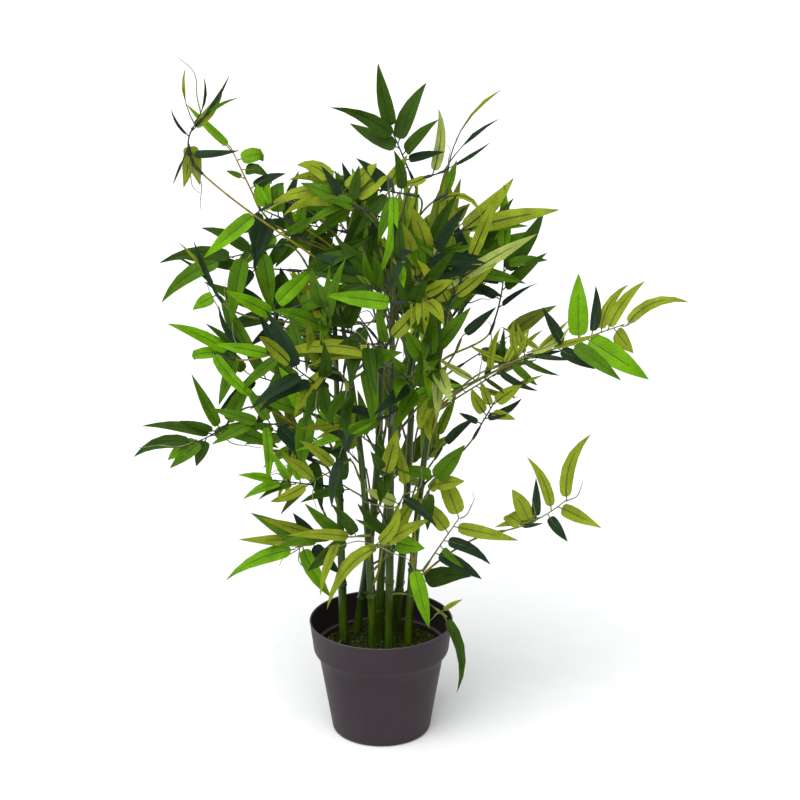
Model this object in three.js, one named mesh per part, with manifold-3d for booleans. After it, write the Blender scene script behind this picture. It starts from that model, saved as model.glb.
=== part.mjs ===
// Artificial bamboo in a plastic nursery pot: seven canes in a moss-topped filler, the side boughs that
// leave them, and one solid for each mass of leaves. Millimetres, +Z up, the front of the plant faces -Y.
// The origin is at the middle of the pot's flat underside.
import * as THREE from "three";
import { mergeVertices } from "three/addons/utils/BufferGeometryUtils.js";
import Module from "manifold-3d";

// ---- Driving dimensions ----
const POT_HEIGHT = 124;
const POT_RIM_RADIUS = 76;
const POT_FOOT_RADIUS = 52.5;
const POT_WALL = 1.8;
const POT_FLOOR = 2.4;
const BAND_HEIGHT = 28.3; // the upright collar round the top
const BAND_FOOT_RADIUS = 71.9;
const SHOULDER_DROP = 8.3; // the collar steps in over this height
const SHOULDER_STEP = 5.6; // and by this much
const FOOT_ROUND = 4; // radius of the edge round the underside
const POT_SEGMENTS = 30;

const MOSS_TOP = 92;
const MOSS_DEPTH = 4;
const MOSS_RADIUS = 64;
const GAP = 0.3; // between pieces that touch
const CUT_GAP = 0.5; // round a limb that runs through leaves

const CANE_SIDES = 6;
const CANE_SUNK = 8;
const CANE_FOOT_RADIUS = 4.7;
const CANE_TAPER = 0.5; // head radius as a share of the foot's
const NODE_SWELL = 1.16; // a node ring's radius as a share of the cane's
const NODE_HALF_HEIGHT = 2.2;
const NODE_SPACING = 95;

const BOUGH_SIDES = 4;
const BOUGH_STEPS = 3;
const BOUGH_RADIUS = 1.5;
const BOUGH_TIP_RADIUS = 1.0;

const LOBE_SIDES = 4;
const LOBE_BELLY = 0.42; // how far out along its length a lobe is widest
const LOBE_THICKNESS = 0.62; // a lobe's depth as a share of its width
const TERMINAL = 1.06; // the lobe at a spine's end is this much longer than reach
const LOBE_FAN = 30; // degrees that side lobes swing out of their mass's own plane
const LOBE_WIDTH = 0.13; // half a lobe's width as a share of its length
const SPINE_SHARE = 0.78; // the part of a mass's spine that carries side lobes

const DEGREE = Math.PI / 180;

const wasm = await Module();
wasm.setup();

// ---- Materials ----
const potPlastic = new THREE.MeshStandardMaterial({ color: 0x463f43, roughness: 0.55, metalness: 0 });
const fillerStone = new THREE.MeshStandardMaterial({ color: 0x6f6a62, roughness: 0.9, metalness: 0 });
const mossGreen = new THREE.MeshStandardMaterial({ color: 0x2b3a12, roughness: 0.95, metalness: 0 });
const caneGreen = new THREE.MeshStandardMaterial({ color: 0x33501f, roughness: 0.45, metalness: 0 });
const boughGreen = new THREE.MeshStandardMaterial({ color: 0x77781f, roughness: 0.5, metalness: 0 });
const leafGreen = new THREE.MeshStandardMaterial({ color: 0x3f7a14, roughness: 0.6, metalness: 0 });

// ---- Canes: foot and head give [x, y] at the moss and at the top; bow bends the middle towards +X ----
const CANES = {
  left: { foot: [-40, 9], head: [-46, 6], top: 455, bow: 0 },
  back_left: { foot: [-27, 34], head: [-4, 16], top: 545, bow: 14 },
  front: { foot: [-8.5, -3], head: [-36, -12], top: 440, bow: 6 },
  back: { foot: [-3, 17], head: [37, 10], top: 430, bow: -9 },
  middle: { foot: [8, -4], head: [13, -6], top: 520, bow: 0 },
  back_right: { foot: [14.5, 32], head: [34, 42], top: 480, bow: 5 },
  right: { foot: [28, 7], head: [62, 2], top: 425, bow: -5 },
};

// ---- Leaf masses ----
// Each is drawn in its own upright plane and then turned about the vertical through its foot: turn 0 faces +X,
// 90 the back. rise and length give the spine. headings are the lobes' directions in that plane, in degrees up
// from straight out, in order from the foot; reach is their length. cane and at, where given, name the cane
// and the height that a side bough runs from.
const MASSES = [
  { name: "leaves_top", foot: [33, 4, 596], turn: 180, rise: 66, length: 50, girth: 7, reach: 66,
    headings: [124, 19, 109, 21, 77], cane: "middle", at: 505 },
  { name: "leaves_top_right", foot: [36, -8, 602], turn: -14, rise: 9, length: 31, girth: 5, reach: 80,
    headings: [100, 72, 33, 42, 57] },
  { name: "leaves_upper_left_tip", foot: [-176, 0, 612], turn: 184, rise: 88, length: 40, girth: 5, reach: 60,
    headings: [-73, -104, 121, 88, 97], cane: "back_left", at: 490 },
  { name: "leaves_upper_left", foot: [-104, -4, 562], turn: 176, rise: 55, length: 77, girth: 9, reach: 54,
    headings: [-73, 123, -62, 154, 112, 49], cane: "back_left", at: 450 },
  { name: "leaves_left_high", foot: [-96, -12, 517], turn: 192, rise: 5, length: 62, girth: 12, reach: 64,
    headings: [-76, 55, -85, 31, -36, 3], cane: "left", at: 448 },
  { name: "leaves_left_mid", foot: [-92, -8, 414], turn: 196, rise: 7, length: 66, girth: 12, reach: 62,
    headings: [84, -60, 50, -116, 26, 20], cane: "left", at: 430 },
  { name: "leaves_left_arm", foot: [-112, 0, 318], turn: 176, rise: 17, length: 72, girth: 7, reach: 68,
    headings: [-96, 96, -62, 64, -36, -26], cane: "left", at: 235 },
  { name: "leaves_low_left", foot: [-54, -12, 216], turn: 188, rise: -13, length: 44, girth: 6, reach: 70,
    headings: [25, -116, 57, 29, -27], cane: "left", at: 212 },
  { name: "leaves_low_front", foot: [24, -46, 216], turn: 196, rise: 12, length: 52, girth: 7, reach: 60,
    headings: [104, -46, 76, -36, 4], cane: "front", at: 176 },
  { name: "leaves_low_right_inner", foot: [48, -14, 196], turn: -12, rise: 57, length: 74, girth: 6, reach: 58,
    headings: [-34, 128, -20, 112, 4], cane: "right", at: 175 },
  { name: "leaves_low_right", foot: [120, 0, 220], turn: 6, rise: 26, length: 80, girth: 5, reach: 62,
    headings: [100, 12, 92, -32, 77], cane: "right", at: 160 },
  { name: "leaves_right_arm_inner", foot: [74, -4, 372], turn: -10, rise: 30, length: 84, girth: 11, reach: 42,
    headings: [150, -52, 88, -44, 64], cane: "right", at: 330 },
  { name: "leaves_right_arm", foot: [160, -6, 416], turn: 2, rise: 19, length: 94, girth: 6, reach: 60,
    headings: [118, -33, 89, -35, 66, -31, 50, 28], cane: "right", at: 350 },
  { name: "leaves_right_mid", foot: [98, 6, 336], turn: 14, rise: 66, length: 36, girth: 6, reach: 48,
    headings: [165, 26, 140, 40], cane: "right", at: 270 },
  { name: "leaves_right_high", foot: [112, 6, 440], turn: 12, rise: 84, length: 82, girth: 8, reach: 66,
    headings: [150, 29, 165, 36, 50, 91], cane: "right", at: 405 },
  { name: "leaves_right_inner", foot: [58, -22, 484], turn: -24, rise: 62, length: 76, girth: 10, reach: 60,
    headings: [-62, 140, 10, 120, 16, 62] },
  { name: "leaves_crown_left", foot: [0, -20, 567], turn: 204, rise: 42, length: 60, girth: 11, reach: 56,
    headings: [150, -12, 104, 0, 74, 26] },
  { name: "leaves_crown_right", foot: [22, 14, 545], turn: 30, rise: 56, length: 48, girth: 12, reach: 52,
    headings: [-4, 146, 18, 66] },
  { name: "leaves_core_left", foot: [-34, -26, 480], turn: 205, rise: 14, length: 66, girth: 18, reach: 60,
    headings: [88, -66, 52, -34, 10] },
  { name: "leaves_core_low", foot: [16, -34, 420], turn: 196, rise: -14, length: 58, girth: 13, reach: 58,
    headings: [60, -70, 30, -44, 6, 16] },
  { name: "leaves_core_right", foot: [24, -30, 440], turn: -28, rise: 58, length: 62, girth: 18, reach: 58,
    headings: [-64, 150, -12, 128, 34] },
  { name: "leaves_inner_left", foot: [-54, -16, 352], turn: 196, rise: 12, length: 44, girth: 14, reach: 54,
    headings: [112, -92, 62, -44, 6] },
  { name: "leaves_front_high", foot: [-12, -52, 500], turn: -112, rise: 14, length: 62, girth: 12, reach: 64,
    headings: [100, -52, 64, -30, 8], cane: "middle", at: 470 },
  { name: "leaves_front_low", foot: [20, -44, 392], turn: -70, rise: 6, length: 58, girth: 11, reach: 62,
    headings: [96, -44, 52, -24, 4] },
  { name: "leaves_back_top", foot: [4, 40, 566], turn: 74, rise: 34, length: 60, girth: 12, reach: 62,
    headings: [120, -20, 84, 4, 40] },
  { name: "leaves_back_high", foot: [-16, 50, 486], turn: 104, rise: 16, length: 74, girth: 13, reach: 66,
    headings: [104, -48, 66, -22, 16] },
  { name: "leaves_back_left", foot: [-48, 48, 410], turn: 136, rise: 16, length: 78, girth: 13, reach: 66,
    headings: [100, -50, 56, -20, 14], cane: "back_left", at: 370 },
  { name: "leaves_back_right", foot: [52, 52, 420], turn: 46, rise: 18, length: 78, girth: 13, reach: 66,
    headings: [108, -46, 60, -18, 18], cane: "back_right", at: 392 },
  { name: "leaves_back_mid", foot: [8, 56, 344], turn: 82, rise: 12, length: 66, girth: 12, reach: 62,
    headings: [96, -48, 50, -16, 14] },
  { name: "leaves_back_low", foot: [-30, 52, 246], turn: 118, rise: 18, length: 62, girth: 9, reach: 62,
    headings: [92, -34, 46, 0], cane: "back_left", at: 214 },
  { name: "leaves_pot_edge", foot: [62, -38, 142], turn: 0, rise: -28, length: 9, girth: 3.4, reach: 66,
    headings: [-76], cane: "middle", at: 152 },
];

// ---- Solids: manifold-3d only joins and cuts what the three.js geometry classes make ----
// A ring of no radius closes to a point, which leaves flat triangles to drop.
function withoutFlats(index) {
  const kept = [];
  for (let i = 0; i < index.length; i += 3) {
    const [a, b, c] = index.slice(i, i + 3);
    if (a !== b && b !== c && c !== a) kept.push(a, b, c);
  }
  return new Uint32Array(kept);
}

function toSolid(geometry) {
  const bare = geometry.index ? geometry.toNonIndexed() : geometry.clone();
  const positions = new THREE.BufferGeometry().setAttribute("position", bare.getAttribute("position"));
  const merged = mergeVertices(positions, 1e-3);
  return new wasm.Manifold(
    new wasm.Mesh({
      numProp: 3,
      vertProperties: merged.attributes.position.array,
      triVerts: withoutFlats(merged.index.array),
    }),
  );
}

function toGeometry(solid) {
  const mesh = solid.getMesh();
  const positions = new Float32Array(mesh.numVert * 3);
  for (let i = 0; i < mesh.numVert; i++) {
    positions.set(mesh.vertProperties.subarray(i * mesh.numProp, i * mesh.numProp + 3), i * 3);
  }
  const geometry = new THREE.BufferGeometry().setAttribute("position", new THREE.BufferAttribute(positions, 3));
  geometry.setIndex(new THREE.BufferAttribute(new Uint32Array(mesh.triVerts), 1));
  return geometry;
}

// A cut can leave crumbs: only the largest body is the piece.
function largestBody(solid) {
  return solid.decompose().reduce((best, body) => (body.volume() > best.volume() ? body : best));
}

function join(solids) {
  return solids.reduce((all, solid) => all.add(solid));
}

// ---- Tubes: rings of points round a line, closed by a flat cap at each end ----
// centres is a list of Vector3, radii one radius for each; across sets which way a flattened ring is thin.
function tubeGeometry(centres, radii, sides, across = new THREE.Vector3(0, 1, 0), thin = 1) {
  const positions = [];
  const index = [];
  centres.forEach((centre, i) => {
    const ahead = centres[Math.min(i + 1, centres.length - 1)];
    const behind = centres[Math.max(i - 1, 0)];
    const along = ahead.clone().sub(behind).normalize();
    const wide = new THREE.Vector3().crossVectors(along, across).normalize();
    const deep = new THREE.Vector3().crossVectors(wide, along).normalize();
    for (let k = 0; k < sides; k++) {
      const angle = (2 * Math.PI * k) / sides;
      const point = centre.clone();
      point.addScaledVector(wide, radii[i] * Math.cos(angle));
      point.addScaledVector(deep, radii[i] * thin * Math.sin(angle));
      positions.push(point.x, point.y, point.z);
    }
  });
  const last = (centres.length - 1) * sides;
  for (let i = 0; i < centres.length - 1; i++) {
    for (let k = 0; k < sides; k++) {
      const a = i * sides + k;
      const b = i * sides + ((k + 1) % sides);
      index.push(a, b, a + sides, b, b + sides, a + sides);
    }
  }
  for (let k = 1; k < sides - 1; k++) {
    index.push(0, k + 1, k);
    index.push(last, last + k, last + k + 1);
  }
  const geometry = new THREE.BufferGeometry();
  geometry.setAttribute("position", new THREE.Float32BufferAttribute(positions, 3));
  geometry.setIndex(index);
  return geometry;
}

function tubeSolid(...shape) {
  const solid = toSolid(tubeGeometry(...shape));
  return solid.volume() < 0 ? toSolid(flipped(tubeGeometry(...shape))) : solid;
}

function flipped(geometry) {
  const order = Array.from(geometry.index.array);
  for (let i = 0; i < order.length; i += 3) [order[i + 1], order[i + 2]] = [order[i + 2], order[i + 1]];
  return geometry.setIndex(order);
}

// ---- Pot, filler and moss ----
// The outer line of the pot's section, from the foot up, moved inwards by inset.
function potRadiusAt(z) {
  const bandFoot = POT_HEIGHT - BAND_HEIGHT;
  const wallTop = bandFoot - SHOULDER_DROP;
  if (z >= bandFoot) return THREE.MathUtils.mapLinear(z, bandFoot, POT_HEIGHT, BAND_FOOT_RADIUS, POT_RIM_RADIUS);
  const wallTopRadius = BAND_FOOT_RADIUS - SHOULDER_STEP;
  if (z >= wallTop) return THREE.MathUtils.mapLinear(z, wallTop, bandFoot, wallTopRadius, BAND_FOOT_RADIUS);
  return THREE.MathUtils.mapLinear(z, 0, wallTop, POT_FOOT_RADIUS, wallTopRadius);
}

// A lathe turns about Y, so each solid of revolution is stood up on Z.
function lathe(profile) {
  return new THREE.LatheGeometry(profile.map(([r, z]) => new THREE.Vector2(r, z)), POT_SEGMENTS).rotateX(Math.PI / 2);
}

function potGeometry() {
  const bandFoot = POT_HEIGHT - BAND_HEIGHT;
  const wallTop = bandFoot - SHOULDER_DROP;
  const outer = [[0, 0], [POT_FOOT_RADIUS - FOOT_ROUND, 0]];
  for (const angle of [45 * DEGREE, 90 * DEGREE]) {
    const height = FOOT_ROUND * (1 - Math.cos(angle));
    outer.push([potRadiusAt(height) - FOOT_ROUND * (1 - Math.sin(angle)), height]);
  }
  for (const z of [wallTop, bandFoot, POT_HEIGHT]) outer.push([potRadiusAt(z), z]);
  const inner = [POT_HEIGHT, bandFoot - POT_WALL, wallTop - POT_WALL, POT_FLOOR].map((z) => [
    potRadiusAt(z) - POT_WALL,
    z,
  ]);
  return lathe([...outer, ...inner, [0, POT_FLOOR]]);
}

function mossGeometry() {
  return lathe([[0, MOSS_TOP - MOSS_DEPTH], [MOSS_RADIUS, MOSS_TOP - MOSS_DEPTH], [MOSS_RADIUS, MOSS_TOP], [0, MOSS_TOP]]);
}

// The filler stays inside the straight lower wall; the moss lies in the wider collar above it.
function fillerGeometry() {
  const shoulder = POT_HEIGHT - BAND_HEIGHT - SHOULDER_DROP - 2 * POT_WALL;
  const clear = POT_WALL + 2 * GAP;
  const top = MOSS_TOP - MOSS_DEPTH - GAP;
  const low = POT_FLOOR + GAP;
  return lathe([
    [0, low],
    [potRadiusAt(low) - clear, low],
    [potRadiusAt(shoulder) - clear, shoulder],
    [potRadiusAt(shoulder) - clear, top],
    [0, top],
  ]);
}

// ---- Canes ----
const groundTop = MOSS_TOP + GAP;
const belowGround = toSolid(new THREE.BoxGeometry(200, 200, groundTop).translate(0, 0, groundTop / 2));

function caneAt(cane, z) {
  const share = (z - MOSS_TOP) / (cane.top - MOSS_TOP);
  return new THREE.Vector3(
    THREE.MathUtils.lerp(cane.foot[0], cane.head[0], share) + cane.bow * Math.sin(Math.PI * share),
    THREE.MathUtils.lerp(cane.foot[1], cane.head[1], share),
    z,
  );
}

function caneRadiusAt(cane, z) {
  const share = (z - MOSS_TOP) / (cane.top - MOSS_TOP);
  return CANE_FOOT_RADIUS * THREE.MathUtils.lerp(1, CANE_TAPER, share);
}

// Each cane starts a little below the moss's surface and is cut off flat just above it.
function caneSolid(cane, order, grow = 0) {
  const stations = [[MOSS_TOP - CANE_SUNK, 1]];
  const firstNode = MOSS_TOP + NODE_SPACING * (0.35 + 0.09 * order);
  for (let z = firstNode; z < cane.top - NODE_SPACING / 3; z += NODE_SPACING) {
    stations.push([z - NODE_HALF_HEIGHT, 1], [z, NODE_SWELL], [z + NODE_HALF_HEIGHT, 1]);
  }
  stations.push([cane.top + grow, 1]);
  const centres = stations.map(([z]) => caneAt(cane, z));
  const radii = stations.map(([z, swell]) => caneRadiusAt(cane, z) * swell + grow);
  return tubeSolid(centres, radii, CANE_SIDES).subtract(belowGround);
}

// ---- Leaf masses ----
// A direction in a mass's own upright plane: heading degrees up from straight out, tilt degrees out of the plane.
function directionOf(turn, heading, tilt = 0) {
  const out = Math.cos(heading * DEGREE) * Math.cos(tilt * DEGREE);
  const side = Math.sin(tilt * DEGREE);
  const [c, s] = [Math.cos(turn * DEGREE), Math.sin(turn * DEGREE)];
  return new THREE.Vector3(out * c - side * s, out * s + side * c, Math.sin(heading * DEGREE) * Math.cos(tilt * DEGREE));
}

// A lobe is a flat four-sided spindle that ends in a point like its leaves.
function lobe(from, direction, length, halfWidth, across, grow) {
  const stations = [-0.04 * length - grow, LOBE_BELLY * length, length + grow];
  const widths = [0.5, 1, 0];
  const centres = stations.map((s) => from.clone().addScaledVector(direction, s));
  const radii = widths.map((width) => (width > 0 ? width * halfWidth + grow : 0));
  return tubeSolid(centres, radii, LOBE_SIDES, across, LOBE_THICKNESS);
}

function massSolid(mass, grow = 0) {
  const foot = new THREE.Vector3(...mass.foot);
  const spine = directionOf(mass.turn, mass.rise);
  const across = directionOf(mass.turn + 90, 0);
  const parts = [lobe(foot, spine, mass.length * 1.15, mass.girth, across, grow)];
  mass.headings.forEach((heading, i) => {
    const last = mass.headings.length - 1;
    const share = last === 0 ? 1 : (i / last) * SPINE_SHARE + (1 - SPINE_SHARE) * (i === last ? 1 : 0.4);
    const from = foot.clone().addScaledVector(spine, mass.length * share);
    const tilt = i === last ? 0 : LOBE_FAN * Math.sin(2.4 * i + mass.length); // uneven, and the same every time
    const uneven = 1 - 0.1 * Math.cos(1.7 * i + mass.girth);
    const length = mass.reach * (i === last ? TERMINAL : uneven);
    const halfWidth = length * LOBE_WIDTH + mass.girth * 0.12;
    parts.push(lobe(from, directionOf(mass.turn, heading, tilt), length, halfWidth, across, grow));
  });
  return join(parts);
}

// ---- Side boughs: from a cane's face up in a shallow arch to the foot of a mass ----
function boughSolid(mass) {
  const start = caneAt(CANES[mass.cane], mass.at);
  const end = new THREE.Vector3(...mass.foot);
  const lift = start.distanceTo(end) * 0.08;
  const bend = start.clone().lerp(end, 0.5).add(new THREE.Vector3(0, 0, lift));
  const line = new THREE.QuadraticBezierCurve3(start, bend, end).getPoints(BOUGH_STEPS);
  const radii = line.map((_, i) => THREE.MathUtils.lerp(BOUGH_RADIUS, BOUGH_TIP_RADIUS, i / BOUGH_STEPS));
  return tubeSolid(line, radii, BOUGH_SIDES);
}

// ---- Assembly ----
const plant = new THREE.Group();

function addNode(name, geometry, material) {
  const mesh = new THREE.Mesh(geometry, material);
  mesh.name = name;
  plant.add(mesh);
}

addNode("pot", potGeometry(), potPlastic);
addNode("filler", fillerGeometry(), fillerStone);
addNode("moss", mossGeometry(), mossGreen);

Object.entries(CANES).forEach(([name, cane], order) => {
  addNode(`cane_${name}`, toGeometry(caneSolid(cane, order)), caneGreen);
});

const grownCanes = join(Object.values(CANES).map((cane, order) => caneSolid(cane, order, CUT_GAP)));
let taken = grownCanes;
for (const mass of MASSES) {
  const cut = largestBody(massSolid(mass).subtract(taken));
  addNode(mass.name, toGeometry(cut), leafGreen);
  taken = taken.add(massSolid(mass, CUT_GAP));
}
for (const mass of MASSES.filter((each) => each.cane)) {
  const cut = largestBody(boughSolid(mass).subtract(taken));
  addNode(mass.name.replace("leaves", "bough"), toGeometry(cut), boughGreen);
}

export default plant;
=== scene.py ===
"""The looks of an artificial bamboo in a plastic nursery pot.

Seven moulded canes stand in a bed of loose moss. Wire twigs leave them, and each twig carries sprays of
fabric leaves with a moulded plastic rib under each blade. Metres, +Z up, the front of the plant faces -Y.
The plans below give sizes in millimetres, as the maker's design does.
"""

import logging
import math
from dataclasses import dataclass, field
from enum import Enum
from functools import partial

import bpy
import numpy as np
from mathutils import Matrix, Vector
from numpy.typing import NDArray


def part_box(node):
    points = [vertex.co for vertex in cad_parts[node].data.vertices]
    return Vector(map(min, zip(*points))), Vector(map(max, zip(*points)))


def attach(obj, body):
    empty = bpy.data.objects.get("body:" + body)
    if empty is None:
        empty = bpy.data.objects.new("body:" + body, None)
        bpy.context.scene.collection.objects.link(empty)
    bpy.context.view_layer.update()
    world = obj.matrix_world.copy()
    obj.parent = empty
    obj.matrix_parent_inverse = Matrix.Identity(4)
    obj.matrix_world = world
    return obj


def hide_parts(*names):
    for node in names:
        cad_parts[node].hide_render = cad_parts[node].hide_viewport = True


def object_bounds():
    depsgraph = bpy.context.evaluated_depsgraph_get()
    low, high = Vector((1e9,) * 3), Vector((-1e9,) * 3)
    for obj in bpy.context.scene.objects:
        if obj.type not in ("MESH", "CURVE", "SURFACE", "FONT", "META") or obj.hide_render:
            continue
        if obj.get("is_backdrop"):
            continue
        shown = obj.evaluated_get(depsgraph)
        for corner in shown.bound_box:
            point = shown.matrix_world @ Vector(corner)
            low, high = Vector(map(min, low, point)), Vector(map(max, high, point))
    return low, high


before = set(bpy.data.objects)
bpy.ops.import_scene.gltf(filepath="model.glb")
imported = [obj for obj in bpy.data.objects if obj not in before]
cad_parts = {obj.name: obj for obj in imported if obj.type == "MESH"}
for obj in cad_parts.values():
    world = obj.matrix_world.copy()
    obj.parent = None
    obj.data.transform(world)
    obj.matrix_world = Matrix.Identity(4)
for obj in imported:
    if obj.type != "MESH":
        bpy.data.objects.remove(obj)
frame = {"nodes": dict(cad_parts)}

Array = NDArray[np.float64]
Indices = NDArray[np.int64]
Triple = tuple[float, float, float]
Colour = tuple[float, float, float]
Pair = tuple[float, float]
Socket = bpy.types.NodeSocket
MM = 0.001
TURN = 2 * math.pi
LOG = logging.getLogger("bamboo")
# The leaves stay inside the design's box, made larger by this share of its size and this margin.
LIMIT_SHARE = 0.02
LIMIT_MARGIN = 4 * MM


# ---------------------------------------------------------------- choices


class Tint(Enum):
    """The cloths that the leaves are cut from.

    OLIVE and PALE leaves hang with their undersides to the front.
    """

    BRIGHT = "bright"
    MID = "mid"
    DARK = "dark"
    DEEP = "deep"
    OLIVE = "olive"
    PALE = "pale"


class Stem(Enum):
    """The plastics that twigs, rachises, petioles and ribs are moulded in."""

    DEEP = "deep"
    OLIVE = "olive"
    YELLOW = "yellow"


# ---------------------------------------------------------------- plans


@dataclass(frozen=True)
class Blade:
    """One leaf of a spray.

    heading is its direction from foot to tip in the spray's upright plane, in degrees up from level. length
    is in millimetres, slim is its width over its length, and arch is how much its heading climbs from foot
    to tip. kink folds it sharply at the middle, in degrees. stalk is the share of its length that is rolled
    up into a thin stalk.
    """

    tint: Tint
    heading: float
    length: float = 60.0
    slim: float = 0.23
    arch: float = 0.0
    kink: float = 0.0
    stalk: float = 0.0


# Each makes a blade of its tint from a heading, length, slim, arch, kink and stalk, in that order.
bright, mid, dark, deep, olive, pale = (partial(Blade, tint) for tint in Tint)


@dataclass(frozen=True)
class Tendril:
    """A curly wire: where it leaves the rachis, its first heading, its length and how far it winds."""

    share: float
    heading: float
    length: float
    wind: float


@dataclass(frozen=True)
class SprayPlan:
    """One spray of leaves, drawn in an upright plane that is turned about the vertical through its foot.

    turn 0 faces +X and 90 the back. rise is the rachis's climb in degrees, and bend how much that changes
    to either side of its middle. Lengths are in millimetres. The twig leaves its cane at the height at. A
    turned spray faces the back.
    """

    foot: Triple
    turn: float
    rise: float
    length: float
    cane: str
    at: float
    blades: tuple[Blade, ...]
    bend: float = 0.0
    stem: Stem = Stem.DEEP
    wire: Stem = Stem.OLIVE
    tendrils: tuple[Tendril, ...] = ()
    turned: bool = False


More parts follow.
